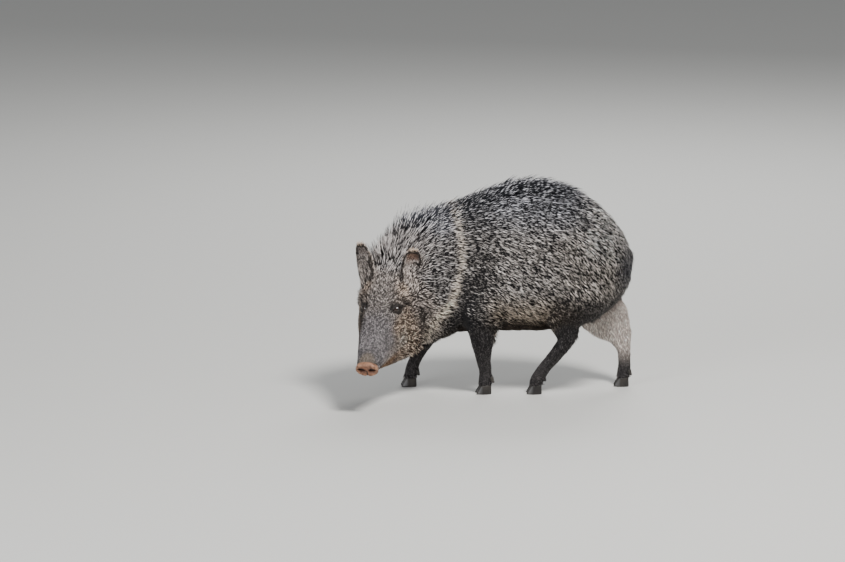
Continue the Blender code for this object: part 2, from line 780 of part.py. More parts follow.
def finish(pieces):
    """Sets the origin under the middle of the animal, and gives each piece its material."""
    corners = np.array([v.co for item in pieces.values() for v in item.data.vertices])
    low, high = corners.min(axis=0), corners.max(axis=0)
    shift = Vector((-(low[0] + high[0]) / 2, -(low[1] + high[1]) / 2, -low[2]))
    materials = {name: make_material(name) for name in COLOURS}
    for name, item in pieces.items():
        item.name = name
        item.data.name = name
        item.data.transform(Matrix.Translation(shift))
        item.data.materials.clear()
        item.data.materials.append(materials[material_of(name)])
        item.data.shade_smooth()
        item.data.set_sharp_from_angle(angle=math.radians(40))


def material_of(name):
    for word, material in (
        ("hoof", "hoof"),
        ("dewclaw", "hoof"),
        ("eye", "eye"),
        ("nose", "nose"),
        ("ear", "ear"),
        ("leg", "leg"),
        ("head", "face"),
        ("snout", "face"),
        ("jaw", "face"),
    ):
        if word in name:
            return material
    return "coat"


def keep_largest(item):
    """Drops the part of a piece that a cut left inside the body."""

    def height(mesh):
        levels = [vertex.co.z for vertex in mesh.vertices]
        return max(levels) - min(levels)

    item.data = max(loose_parts(item.data), key=height)


def main():
    clear_scene()
    parts = make_collection("collared_peccary")
    whole = flesh(parts)
    around = grown_copy(whole, CUT, parts)
    pieces = {}
    for word, side in (("left", 1), ("right", -1)):
        pieces[f"ear_{word}"] = ear_object(word, side, parts)
    pieces["nose_disc"] = nose_object(parts)
    pieces["tail"] = tail_object(parts)
    for name, row in FEET.items():
        hooves, raised = foot_pieces(name, *row, parts)
        pieces.update({**hooves, **raised})
    for name, item in pieces.items():
        if not name.startswith(("hoof", "nose")):
            boolean(item, around, "DIFFERENCE")
            keep_largest(item)
    remove_object(around)
    body = part_body(whole, parts)
    for word, side in (("left", 1), ("right", -1)):
        centre = head_point(EYE_BACK, side * EYE_SIDE, EYE_UP)
        subtract(body["head"], [ball_mesh(centre, EYE_RADIUS + 2 * CUT)], parts)
        pieces[f"eye_{word}"] = add_object(f"eye_{word}", ball_mesh(centre, EYE_RADIUS), parts)
    pieces.update(body)
    finish(pieces)


main()
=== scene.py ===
# Collared peccary, life size, walking with its head lowered and turned to its left.
# One skin lies over the flesh, and a coat of banded bristles lies over the skin.
import math

import bmesh
import bpy
import numpy as np
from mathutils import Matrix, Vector, noise
from mathutils.bvhtree import BVHTree


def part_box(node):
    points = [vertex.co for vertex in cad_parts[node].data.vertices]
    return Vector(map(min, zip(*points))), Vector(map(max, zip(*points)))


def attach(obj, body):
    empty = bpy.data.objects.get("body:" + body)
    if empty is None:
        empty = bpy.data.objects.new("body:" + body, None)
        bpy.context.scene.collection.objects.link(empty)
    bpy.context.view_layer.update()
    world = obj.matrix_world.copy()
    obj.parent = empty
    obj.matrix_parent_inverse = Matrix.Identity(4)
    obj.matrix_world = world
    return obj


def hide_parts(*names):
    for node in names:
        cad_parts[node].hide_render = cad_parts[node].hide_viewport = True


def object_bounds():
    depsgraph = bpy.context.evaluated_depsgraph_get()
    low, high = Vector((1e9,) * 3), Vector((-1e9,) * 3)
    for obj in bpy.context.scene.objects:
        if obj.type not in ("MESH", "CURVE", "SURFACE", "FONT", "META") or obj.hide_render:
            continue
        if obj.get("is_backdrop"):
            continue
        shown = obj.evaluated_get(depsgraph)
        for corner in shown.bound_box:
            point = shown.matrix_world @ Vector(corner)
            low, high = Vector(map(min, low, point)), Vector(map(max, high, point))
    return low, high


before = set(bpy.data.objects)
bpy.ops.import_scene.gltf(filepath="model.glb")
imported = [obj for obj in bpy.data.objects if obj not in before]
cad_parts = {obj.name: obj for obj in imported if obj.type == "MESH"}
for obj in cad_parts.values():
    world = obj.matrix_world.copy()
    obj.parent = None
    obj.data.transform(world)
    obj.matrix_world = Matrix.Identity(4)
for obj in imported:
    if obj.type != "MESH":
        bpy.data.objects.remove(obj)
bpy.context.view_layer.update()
print("frame:", len(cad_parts), "nodes")

# Each group of flesh nodes has its own kind of hair.
legNames = {end: [f"{end}leg_{side}_{half}" for side in ("left", "right") for half in ("upper", "lower")]
            for end in ("fore", "hind")}
fleshGroups = {
    "head": ["head", "snout", "lower_jaw"],
    "neck": ["neck"],
    "trunk": ["trunk"],
    "foreleg": legNames["fore"],
    "hindleg": legNames["hind"],
    "tail": ["tail"],
    "ear": ["ear_left", "ear_right"],
}
earNodes, earGroup = fleshGroups["ear"], list(fleshGroups).index("ear")
clawNodes = sorted(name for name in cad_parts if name.startswith(("hoof", "dewclaw")))


# Places on the animal. The head's axes come from the eyes and the snout's disc.
def middleOf(node):
    low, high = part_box(node)
    return (Vector(low) + Vector(high)) / 2


headPlan = {"eyeBack": 0.163, "eyeUp": 0.029, "discDepth": 0.0045}
eyeLeft, eyeRight = middleOf("eye_left"), middleOf("eye_right")
headLeft = (eyeLeft - eyeRight).normalized()
eyesMiddle = (eyeLeft + eyeRight) / 2
sight = (eyesMiddle - middleOf("nose_disc")).normalized()
sightUp = sight.cross(headLeft).normalized()
sightUp *= math.copysign(1.0, sightUp.z)
rise = math.atan2(headPlan["eyeUp"], headPlan["eyeBack"] + headPlan["discDepth"])
headBack = sight * math.cos(rise) - sightUp * math.sin(rise)
headUp = sightUp * math.cos(rise) + sight * math.sin(rise)
headStart = eyesMiddle - headBack * headPlan["eyeBack"] - headUp * headPlan["eyeUp"]
# Points on the body are measured from the floor, under the body's middle line.
bodyStart = Vector((middleOf("tail").x - 0.3174, middleOf("tail").y, 0.0))


def headPoint(back, left, up):
    return headStart + headBack * back + headLeft * left + headUp * up


def headSpot(points):
    away = points - np.array(headStart)
    return away @ np.array(headBack), away @ np.array(headLeft), away @ np.array(headUp)


def bodySpot(points):
    away = points - np.array(bodyStart)
    return away[:, 0], away[:, 1], away[:, 2]


def ease(low, high, values):
    share = np.clip((values - low) / (high - low), 0.0, 1.0)
    return share * share * (3 - 2 * share)


def hump(centre, reach, values):
    return np.exp(-(((values - centre) / reach) ** 2))


def blend(first, second, share):
    share = np.asarray(share)[:, None]
    return np.asarray(first) * (1 - share) + np.asarray(second) * share


def unit(vectors):
    return vectors / np.maximum(np.linalg.norm(vectors, axis=1, keepdims=True), 1e-9)


def drift(points, scale, seed):
    shift = Vector((seed * 7.31, seed * 3.17, seed * 1.93))
    return np.array([noise.noise(Vector(p) * scale + shift) for p in points])


# Meshes as arrays.
def readPoints(mesh):
    flat = np.empty(len(mesh.vertices) * 3)
    mesh.vertices.foreach_get("co", flat)
    return flat.reshape(-1, 3)


def readNormals(mesh):
    flat = np.empty(len(mesh.vertices) * 3, np.float32)
    mesh.vertex_normals.foreach_get("vector", flat)
    return flat.reshape(-1, 3).astype(float)


def readEdges(mesh):
    flat = np.empty(len(mesh.edges) * 2, np.int32)
    mesh.edges.foreach_get("vertices", flat)
    return flat.reshape(-1, 2)


def writePoints(mesh, points):
    mesh.vertices.foreach_set("co", points.astype(np.float32).ravel())
    mesh.update()


def linkPiece(name, mesh):
    piece = bpy.data.objects.new(name, mesh)
    bpy.context.scene.collection.objects.link(piece)
    return piece


def meshFrom(body, name):
    mesh = bpy.data.meshes.new(name)
    body.to_mesh(mesh)
    body.free()
    return mesh


def evaluated(piece):
    return bpy.data.meshes.new_from_object(piece.evaluated_get(bpy.context.evaluated_depsgraph_get()))


def finish(mesh, material):
    mesh.materials.clear()
    mesh.materials.append(material)
    for face in mesh.polygons:
        face.use_smooth = True


def merged(nodes, name):
    body = bmesh.new()
    for node in nodes:
        body.from_mesh(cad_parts[node].data)
    bmesh.ops.remove_doubles(body, verts=body.verts, dist=1e-5)
    return meshFrom(body, name)


def remeshed(mesh, voxel):
    piece = linkPiece("rough", mesh)
    grain = piece.modifiers.new("grain", "REMESH")
    grain.mode = "VOXEL"
    grain.voxel_size = voxel
    grain.adaptivity = 0.0
    result = evaluated(piece)
    bpy.data.objects.remove(piece)
    return outerShell(result)


def outerShell(mesh):
    # Pockets that the cuts leave inside are dropped, and only the largest shell is kept.
    body = bmesh.new()
    body.from_mesh(mesh)
    body.verts.ensure_lookup_table()
    seen = np.zeros(len(body.verts), bool)
    shells = []
    for first in body.verts:
        if seen[first.index]:
            continue
        shell, stack = [], [first]
        seen[first.index] = True
        while stack:
            vertex = stack.pop()
            shell.append(vertex)
            for edge in vertex.link_edges:
                other = edge.other_vert(vertex)
                if not seen[other.index]:
                    seen[other.index] = True
                    stack.append(other)
        shells.append(shell)
    shells.sort(key=len)
    for shell in shells[:-1]:
        bmesh.ops.delete(body, geom=shell, context="VERTS")
    body.to_mesh(mesh)
    body.free()
    return mesh


def averaged(values, edges, rounds, weight):
    # Moves each value towards its neighbours' mean, as often as rounds says.
    values = values.copy()
    size = len(values)
    count = np.maximum(np.bincount(edges.ravel(), minlength=size), 1)
    for step in range(rounds):
        amount = weight[step % len(weight)]
        for column in range(values.shape[1]):
            line = values[:, column]
            total = np.bincount(edges[:, 0], line[edges[:, 1]], size)
            total += np.bincount(edges[:, 1], line[edges[:, 0]], size)
            values[:, column] = line + amount * (total / count - line)
    return values


# The skin: the flesh run together, its facets smoothed away, the head's mesh made finer.
skinPlan = {
    "voxel": 0.0038,
    "rounds": 60,
    "pull": (0.5, -0.53),
    "eyeReach": (0.024, 0.02, 0.0165),
    # How the shares of the groups, the ears' roots and the coat's depth are spread out.
    "spread": (14, (0.6,)),
    "creases": 24,
    "depth": (10, (0.5,)),
    "shade": (0.55, 0.45),
    "shadeReach": (0.008, 0.004),
}
# The line where the lips meet: its height and slope, and how the groove and the snout's folds run.
mouthPlan = {
    "drop": 0.021, "slope": 0.3057, "near": 0.009, "nearBack": (-0.01, 0.12), "front": (-0.002, 0.008),
    "corner": (0.108, 0.096), "groove": (0.0022, 0.0, 0.0012), "lipEdge": (0.0007, 0.003, 0.0016),
    "folds": (0.0005, 900.0), "foldsBack": (0.02, 0.012), "foldsUp": (-0.01, 0.01), "foldsFront": (0.0, 0.004),
    "lips": 0.003, "lipsFront": (-0.002, 0.01), "lipsCorner": (0.112, 0.1), "bare": 0.72, "tone": 1.2,
}


def finer(mesh, near):
    body = bmesh.new()
    body.from_mesh(mesh)
    edges = [edge for edge in body.edges if near((edge.verts[0].co + edge.verts[1].co) / 2)]
    bmesh.ops.subdivide_edges(body, edges=edges, cuts=1, use_grid_fill=True)
    bmesh.ops.triangulate(body, faces=[face for face in body.faces if len(face.verts) > 4])
    body.to_mesh(mesh)
    body.free()


def joined(body, ear):
    # The ear's root runs into the head, as one shell.
    base, tool = linkPiece("base", body), linkPiece("tool", ear)
    union = base.modifiers.new("union", "BOOLEAN")
    union.operation = "UNION"
    union.solver = "EXACT"
    union.object = tool
    result = evaluated(base)
    bpy.data.objects.remove(base)
    bpy.data.objects.remove(tool)
    return outerShell(result)


def mouthGap(points):
    # Height above the line where the lips meet, and how far back along the head it is.
    back, _, up = headSpot(points)
    return up + mouthPlan["drop"] + back * mouthPlan["slope"], back


def nearLips(point):
    away = point - headStart
    back, (front, rear) = away.dot(headBack), mouthPlan["nearBack"]
    gap = away.dot(headUp) + mouthPlan["drop"] + back * mouthPlan["slope"]
    return front < back < rear and abs(gap) < mouthPlan["near"]


def makeSkinMesh():
    flesh = [node for names in fleshGroups.values() for node in names if node not in earNodes]
    mesh = remeshed(merged(flesh, "skin"), skinPlan["voxel"])
    edges = readEdges(mesh)
    writePoints(mesh, averaged(readPoints(mesh), edges, skinPlan["rounds"], skinPlan["pull"]))
    mesh = joined(mesh, makeEarMesh())
    for reach in skinPlan["eyeReach"]:
        finer(mesh, lambda p: min((p - eyeLeft).length, (p - eyeRight).length) < reach)
    finer(mesh, nearLips)
    mesh.name = "skin"
    return mesh


# Each ear is an upright cup, blunt at the top, turned half to the side.
earPlan = {
    "width": 0.048, "height": 0.084, "sunk": 0.024, "lean": 6, "turn": 30, "around": 44, "rows": 46, "near": 0.0012,
    "crowd": 1.25, "cupWide": 0.92, "cupPower": 0.8, "cupRear": 0.8, "bowHigh": 1.1, "tipForward": 0.004,
    "shift": {"ear_left": (0.015, 0.003), "ear_right": (0.0065, 0.004)},
    "levels": (0.0, 0.12, 0.3, 0.5, 0.7, 0.84, 0.93, 0.98, 1.0),
    "wide": (0.8, 0.88, 0.97, 1.0, 0.97, 0.9, 0.75, 0.5, 0.0),
    "thick": (0.012, 0.01, 0.008, 0.0064, 0.0052, 0.0042, 0.0034, 0.0028, 0.0),
    "hollow": (0.0, 0.0006, 0.0052, 0.006, 0.005, 0.0034, 0.0016, 0.0, 0.0),
    "bow": 0.003,
}


def earAxes(node):
    side = 1.0 if node == "ear_left" else -1.0
    outwards = Vector((headLeft.x, headLeft.y, 0)).normalized() * side
    heading = Vector((0, 0, 1)).cross(outwards) * -side
    lean, turn = math.radians(earPlan["lean"]), math.radians(earPlan["turn"])
    up = Vector((0, 0, math.cos(lean))) + outwards * math.sin(lean)
    facing = heading * math.cos(turn) + outwards * math.sin(turn)
    across = up.cross(facing).normalized()
    low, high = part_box(node)
    aside, raised = earPlan["shift"][node]
    tip = Vector(((low.x + high.x) / 2, (low.y + high.y) / 2, high.z + raised)) + outwards * aside
    return across, across.cross(up).normalized(), up, tip - up * earPlan["height"]


def makeEarMesh():
    body = bmesh.new()
    around, rows = earPlan["around"], earPlan["rows"]
    cupWide, cupPower, cupRear = (earPlan[key] for key in ("cupWide", "cupPower", "cupRear"))
    for node in earNodes:
        across, facing, up, root = earAxes(node)
        rings = []
        for row in range(rows):
            level = 1 - (1 - row / (rows - 1)) ** earPlan["crowd"]
            wide, thick, hollow = (float(np.interp(level, earPlan["levels"], earPlan[key]))
                                   for key in ("wide", "thick", "hollow"))
            ring = []
            for step in range(around):
                angle = 2 * math.pi * step / around
                over, front = math.cos(angle), math.sin(angle)
                cup = hollow * max(0.0, 1 - (over / cupWide) ** 2) ** cupPower * (1.0 if front > 0 else cupRear)
                bow = earPlan["bow"] * (1 - over ** 2) * math.sin(math.pi * min(level * earPlan["bowHigh"], 1.0))
                deep = thick / 2 * front - cup - bow + earPlan["tipForward"] * level ** 2
                ring.append(root + across * (earPlan["width"] / 2 * wide * over) + facing * deep
                            + up * (earPlan["height"] * level - earPlan["sunk"] * (1 - level)))
            if row == rows - 1:
                ring = [sum(ring, Vector()) / around]
            rings.append([body.verts.new(point) for point in ring])
        for low, high in zip(rings[:-1], rings[1:]):
            for step in range(around):
                nextStep = (step + 1) % around
                if len(high) == 1:
                    body.faces.new((low[step], low[nextStep], high[0]))
                else:
                    body.faces.new((low[step], low[nextStep], high[nextStep], high[step]))
        body.faces.new(rings[0][::-1])
    bmesh.ops.recalc_face_normals(body, faces=body.faces[:])
    return meshFrom(body, "ears")


def earSpot(points):
    # For the ear on the point's side: how far across it and up it from the root, and the way it faces.
    spots, facings = [], []
    for node in earNodes:
        across, facing, up, root = (np.array(axis) for axis in earAxes(node))
        away = points - root
        spots.append(np.stack((away @ across / (earPlan["width"] / 2), away @ up / earPlan["height"]), 1))
        facings.append(facing)
    left = headSpot(points)[1][:, None] > 0
    return np.where(left, *spots), np.where(left, *facings)


def groupShares(points):
    # How far each point belongs to each group of flesh nodes, before it is spread out.
    ears = makeEarMesh()
    rims = [list(face.vertices) for face in ears.polygons]
    earTree = BVHTree.FromPolygons([vertex.co for vertex in ears.vertices], rims)
    bpy.data.meshes.remove(ears)
    places, faces, owner = [], [], []
    for number, names in enumerate(fleshGroups.values()):
        for name in names if number != earGroup else ():
            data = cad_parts[name].data
            start = len(places)
            places += [vertex.co.copy() for vertex in data.vertices]
            faces += [[start + i for i in face.vertices] for face in data.polygons]
            owner += [number] * len(data.polygons)
    tree = BVHTree.FromPolygons(places, faces)
    shares = np.zeros((len(points), len(fleshGroups)))
    for i, point in enumerate(points):
        onEar = earTree.find_nearest(Vector(point), earPlan["near"])[0] is not None
        shares[i, earGroup if onEar else owner[tree.find_nearest(Vector(point))[2]]] = 1.0
    return shares


# The lie of the coat runs back along the body's middle line and down its sides.
spinePlan = [headPoint(b, 0, 0.0) for b in (-0.02, 0.05, 0.12, 0.2)]
spinePlan += [bodyStart + Vector(p) for p in (
    (-0.228, -0.065, 0.262), (-0.175, -0.03, 0.29), (-0.11, -0.01, 0.305), (-0.03, 0, 0.31),
    (0.06, 0, 0.31), (0.15, 0, 0.3), (0.24, 0, 0.28), (0.31, 0, 0.255))]
flowPlan = {"reach": 0.055}


def spineFlow(points):
    total = np.zeros_like(points)
    for start, end in zip(spinePlan[:-1], spinePlan[1:]):
        middle, along = (start + end) / 2, (end - start).normalized()
        far = np.linalg.norm(points - np.array(middle), axis=1)
        total += np.exp(-((far / flowPlan["reach"]) ** 2) * 0.5)[:, None] * np.array(along)
    return unit(total + 1e-9)


def onSurface(vectors, normals):
    return vectors - normals * np.sum(vectors * normals, axis=1, keepdims=True)


# Each tuft rises from the skin and droops at its tip. Lengths are in metres.
coatPlan = {
    "seed": 2611, "sides": 3, "rings": 2, "flatness": 0.5, "patch": 0.003, "belly": 2.1,
    "root": 0.001, "rootShare": 0.05, "stray": 0.09, "swirl": 0.16, "swirlScale": 55.0, "clumpScale": 75.0,
    "stand": 1.7, "speck": 190.0, "blot": 115.0, "contrast": 0.7, "fine": 0.95, "coarse": 1.1,
    # Each pair is what is always there, and what chance or a zone adds.
    "length": (0.78, 0.44), "lengthClump": 0.25, "height": (0.65, 0.7), "heightClump": 0.3, "girth": (0.75, 0.5),
    "bandStart": (0.3, 0.4), "darkStart": (0.62, 0.2), "earlyStart": -0.24, "band": (0.2, 0.3), "earlyBand": 0.14,
    "darkBand": 0.06, "shade": (0.8, 0.35), "shadeClump": 0.12, "tint": 0.1, "crowd": 1.2,
}

# Marks of the coat, in the order they are laid on: a tuft's dark ends, its pale band, and how much
# more often that band shows; some are painted light and shade, as said at each. Colours are linear red,
# green and blue, and None leaves a colour alone.
marks = {
    "body": ((0.012, 0.011, 0.012), (0.82, 0.76, 0.72), 0.49),
    "sand": (None, (0.85, 0.71, 0.57), 0.0),
    "low": ((0.016, 0.011, 0.008), None, 0.16),
    # Painted sky reflection: over the upper body the pale bands are tinted blue, and show a little less often.
    "high": (None, (0.72, 0.72, 0.77), -0.11),
    "upperRump": (None, (1.000, 0.94, 0.9), 0.15),
    # Painted sky reflection: along the crest the dark ends are tinted blue.
    "ridge": ((0.013, 0.014, 0.018), None, 0.0),
    "mane": (None, None, -0.34),
    "behindLow": (None, None, -0.3),
    "behind": (None, (0.3, 0.285, 0.28), 0.0),
    "shoulder": (None, None, -0.66),
    "thigh": (None, None, -0.34),
    "haunch": (None, None, -0.62),
    "blackened": (None, (0.165, 0.15, 0.15), 0.0),
    "patch": ((0.02, 0.02, 0.025), (0.33, 0.318, 0.335), -0.18),
    # Painted shade: coat facing down under the body is darker, and shows its pale bands less often.
    "belly": ((0.016, 0.011, 0.008), (0.11, 0.078, 0.056), -0.4),
    "neck": (None, (0.64, 0.605, 0.595), -0.05),
    # Painted highlight: the nape's upward-facing hair is pale and bluish, as if lit from above.
    "nape": ((0.04, 0.042, 0.052), (0.9, 0.89, 0.95), 0.0),
    "face": ((0.05, 0.041, 0.036), (0.675, 0.59, 0.535), 0.0),
    "middle": ((0.052, 0.046, 0.044), (0.57, 0.515, 0.485), 0.0),
    "snoutTip": (None, None, -0.22),
    "snout": ((0.038, 0.035, 0.037), (0.62, 0.57, 0.575), -0.05),
    "cheek": ((0.036, 0.018, 0.01), (0.96, 0.765, 0.61), -0.22),
    "lowerCheek": (None, (1.000, 0.9, 0.8), 0.22),
    # Painted shade: the hollow at the jaw's angle is darker, and shows its pale bands less often.
    "hollow": ((0.02, 0.015, 0.012), None, -0.45),
    "temple": ((0.046, 0.03, 0.02), (0.96, 0.765, 0.61), 0.0),
    # Painted shadow: the snout's right side is darkened as the shaded side of the face.
    "snoutSide": ((0.026, 0.018, 0.013), (0.24, 0.175, 0.13), 0.0),
    # Painted shade: a dark spot beside the right eye, on the shaded side of the face.
    "farEye": ((0.014, 0.012, 0.011), (0.06, 0.048, 0.04), 0.0),
    "pad": ((0.105, 0.085, 0.07), (0.5, 0.43, 0.36), 0.0),
    "jaw": ((0.075, 0.036, 0.019), (0.56, 0.37, 0.23), 0.0),
    "nearCrown": ((0.04, 0.036, 0.037), (0.7, 0.65, 0.63), 0.0),
    "bright": ((0.085, 0.068, 0.055), (1.000, 0.87, 0.72), 0.75),
    "leg": ((0.018, 0.016, 0.017), (0.165, 0.15, 0.15), 0.0),
    "foot": (None, None, 0.25),
    # The inner thigh is paler in its own colour and brightened further as painted sunlight, so that even its dark ends
    # are pale.
    "innerThigh": ((0.5, 0.425, 0.385), (1.000, 0.9, 0.83), 0.0),
    "ear": ((0.048, 0.04, 0.037), (0.6, 0.53, 0.49), 0.0),
    "earCup": ((0.04, 0.019, 0.012), (0.23, 0.125, 0.08), -0.25),
    # Painted shade: the pit at the foot of the ear's cup is near black, for the ear's shaded opening.
    "earPit": ((0.01, 0.008, 0.008), (0.04, 0.034, 0.032), 0.0),
    "earRim": (None, (0.7, 0.55, 0.43), 0.25),
    "earFoot": ((0.05, 0.041, 0.036), (0.675, 0.59, 0.535), 0.0),
    "underEye": (None, (0.62, 0.54, 0.47), 0.4),
    # Dark hair round the eye: partly its own colour, partly painted shade of the socket, with a streak behind painted
    # as the shade of a crease.
    "aroundEye": ((0.012, 0.01, 0.01), (0.046, 0.04, 0.038), 0.0),
    "lips": ((0.17, 0.085, 0.045), (0.26, 0.15, 0.09), 0.0),
    "lids": ((0.013, 0.01, 0.009), (0.035, 0.028, 0.024), 0.0),
}
# How strongly a mark's dark and pale colours cover what is there, where they don't cover it fully.
strengths = {
    "behind": (1.0, 0.5), "blackened": (1.0, 0.9), "neck": (1.0, 0.8), "middle": (0.7, 0.7),
    "snoutSide": (1.0, 0.8), "bright": (0.8, 1.0), "aroundEye": (0.92, 0.92),
}
# How often the band shows where a mark sets it outright.
bandShares = {"face": 0.64, "nearCrown": 0.66, "leg": 0.42, "innerThigh": 0.82, "ear": 0.74}

# Zones of the body and the head. Each starts from another share and eases from the first value, outside,
# to the second, fully inside; with "hump" they are the middle and the reach. x, y and z are places on the
# body; back, left, wide (to either side) and up are places on the head; ahead is in front of the collar;
# top, crownward and sideways are ways the skin faces.
zones = {
    "collar": ("stripe", ("z", 0.1, 0.14)),
    "rump": ("all", ("x", 0.08, 0.26)),
    "crest": ("plain", ("top", 0.62, 0.93), ("back", 0.235, 0.3), ("z", 0.3, 0.36)),
    "mane": ("crest", ("x", 0.26, 0.1)),
    # Skin facing down under the body: shorter hair, darkened as painted shade.
    "belly": ("torso", ("top", -0.45, -0.85)),
    "low": ("all", ("z", 0.27, 0.19), ("x", -0.06, 0.0), ("x", 0.22, 0.14)),
    "hind": ("all", ("x", 0.1, 0.2)),
    # The upper body, where the coat carries a painted sky reflection.
    "high": ("all", ("z", 0.36, 0.45)),
    "upperRump": ("all", ("x", 0.15, 0.23), ("z", 0.3, 0.37)),
    "behind": ("all", ("ahead", -0.004, -0.018), ("ahead", -0.105, -0.05)),
    "behindLow": ("behind", ("z", 0.4, 0.26)),
    "shoulder": ("all", ("x", -0.035, 0.05, "hump"), ("z", 0.212, 0.168), ("ahead", 0.02, 0.0)),
    "haunch": ("all", ("z", 0.272, 0.185), ("x", 0.09, 0.16)),
    "thigh": ("all", ("z", 0.255, 0.205), ("x", 0.13, 0.19)),
    "patch": ("all", ("x", 0.262, 0.302), ("z", 0.305, 0.062, "hump")),
    "neck": ("offHead", ("ahead", -0.01, 0.03)),
    # The nape's upward-facing hair, which carries a painted highlight.
    "nape": ("neck", ("z", 0.405, 0.04, "hump"), ("top", 0.35, 0.65)),
    "face": ("head", ("back", 0.3, 0.22)),
    "middle": ("face", ("wide", 0.042, 0.024), ("back", 0.27, 0.24)),
    "snout": ("head", ("back", 0.15, 0.1), ("tilted", -0.035, 0.0)),
    "snoutTip": ("snout", ("back", 0.04, 0.022)),
    "cheek": ("head", ("back", 0.085, 0.125), ("back", 0.205, 0.165), ("wide", 0.024, 0.042), ("up", 0.03, 0.01)),
    "lowerCheek": ("cheek", ("back", 0.16, 0.125), ("up", 0.0, -0.03)),
    # The hollow at the jaw's angle, on its outer side, darkened as painted shade.
    "hollow": ("hollowSpot", ("wide", 0.05, 0.07)),
    # The snout's right side, darkened as painted shadow.
    "snoutSide": ("head", ("left", -0.026, -0.042), ("back", 0.185, 0.165), ("back", 0.02, 0.045)),
    "pad": ("head", ("padRing", 1.25, 0.7), ("up", -0.004, 0.008)),
    "jaw": ("head", ("jawHeight", 0.026, 0.009), ("back", 0.17, 0.11), ("back", 0.0, 0.02)),
    "chin": ("all", ("back", 0.1, 0.06)),
    "topHead": ("plain", ("wide", 0.095, 0.065), ("up", 0.000, 0.035)),
    "nearCrown": ("topHead", ("back", 0.225, 0.25), ("back", 0.345, 0.3), ("crownward", -0.4, 0.2)),
    "crown": ("topHead", ("back", 0.235, 0.268), ("crownward", -0.1, 0.5), ("back", 0.42, 0.34)),
    "bright": ("collar", ("z", 0.47, 0.43), ("back", 0.185, 0.205)),
    "brightLow": ("all", ("z", 0.32, 0.22)),
    "collarLow": ("collar", ("z", 0.25, 0.18)),
    "foot": ("leg", ("z", 0.12, 0.05)),
    # The far hind leg's inner side, partly painted sunlight.
    "innerThigh": ("all", ("x", 0.185, 0.215), ("z", 0.225, 0.19), ("z", 0.045, 0.115), ("sideways", 0.5, 0.1),
                   ("y", 0.0, 0.022)),
    "faceBack": ("all", ("back", 0.03, 0.17)),
    "forehead": ("all", ("back", 0.2, 0.27)),
    "rearFace": ("all", ("back", 0.15, 0.23)),
    "disc": ("head", ("back", 0.003, -0.002)),
    "legTop": ("all", ("z", 0.05, 0.15)),
    "fringe": ("all", ("z", 0.042, 0.026)),
}
# Soft spots of the head: middle and reach along each direction. The spots at the jaw's angle and beside the right eye
# are painted shade.
spots = {
    "hollowSpot": {"back": (0.203, 0.016), "up": (-0.04, 0.018)},
    "temple": {"back": (0.215, 0.03), "wide": (0.045, 0.016), "up": (0.05, 0.03)},
    # Painted shade beside the right eye.
    "farEye": {"back": (0.143, 0.02), "left": (-0.043, 0.012), "up": (0.024, 0.013)},
}
# Slant of the snout's sides, half sizes of the pad over the disc, the jaw's edge below the lips, and how
# much the chin and the low collar, the hind part and the height above the floor add.
zonePlan = {
    "slant": 0.1, "pad": (0.0195, 0.0225), "jaw": 0.03, "chin": (0.55, 0.45), "brightLow": (0.6, 0.4),
    "hind": 0.25, "high": 0.6,
}

collarPlan = {
    "place": (-0.105, -0.012), "heading": 20,
    "levels": (0.115, 0.155, 0.186, 0.222, 0.257, 0.303, 0.36, 0.42, 0.46),
    "ahead": (0.094, 0.082, 0.071, 0.053, 0.038, 0.026, 0.02, 0.022, 0.024),
    "width": (0.015, 0.015, 0.013, 0.01, 0.0078, 0.007, 0.007, 0.0075, 0.008),
}


def collarShare(points):
    x, y, z = bodySpot(points)
    heading = math.radians(collarPlan["heading"])
    startX, startY = collarPlan["place"]
    ahead = -(x - startX) * math.cos(heading) - (y - startY) * math.sin(heading)
    centre = np.interp(z, collarPlan["levels"], collarPlan["ahead"])
    width = np.interp(z, collarPlan["levels"], collarPlan["width"])
    return hump(centre, width, ahead), ahead - centre


def zoneShares(points, normals, part):
    # Where each point is, and how far it lies in each zone, from 0 to 1.
    place = dict(zip(("x", "y", "z", "back", "left", "up"), (*bodySpot(points), *headSpot(points))))
    stripe, ahead = collarShare(points)
    back, left, up = place["back"], place["left"], place["up"]
    padWide, padHigh = zonePlan["pad"]
    place.update(
        ahead=ahead, top=normals[:, 2], sideways=normals[:, 1], crownward=normals @ np.array(headUp),
        wide=np.abs(left), tilted=up - zonePlan["slant"] * back, padRing=np.hypot(left / padWide, back / padHigh),
        jawHeight=up + zonePlan["jaw"] + mouthPlan["slope"] * back)
    head, ear, leg = part["head"], part["ear"], part["foreleg"] + part["hindleg"]
    plain = (1 - leg) * (1 - ear)
    share = {"all": 1.0, "head": head, "ear": ear, "leg": leg, "plain": plain, "stripe": stripe * plain,
             "torso": (1 - head) * (1 - leg), "offHead": 1 - head}
    for name, spot in spots.items():
        away = sum(((place[axis] - middle) / reach) ** 2 for axis, (middle, reach) in spot.items())
        share[name] = head * np.exp(-away)
    for name, (base, *edges) in zones.items():
        share[name] = share[base]
        for axis, first, second, *kind in edges:
            share[name] = share[name] * (hump if kind else ease)(first, second, place[axis])
    share["sand"] = np.clip(share["low"] + zonePlan["hind"] * share["hind"], 0, 1)
    # The crest and the upper body take the painted blue sky reflection.
    share["ridge"] = np.clip(share["crest"] + zonePlan["high"] * share["high"], 0, 1)
    share["blackened"] = np.clip(share["shoulder"] + share["haunch"], 0, 1)
    for name, within in (("jaw", "chin"), ("bright", "brightLow")):
        always, more = zonePlan[within]
        share[name] = share[name] * (always + more * share[within])
    return place, share


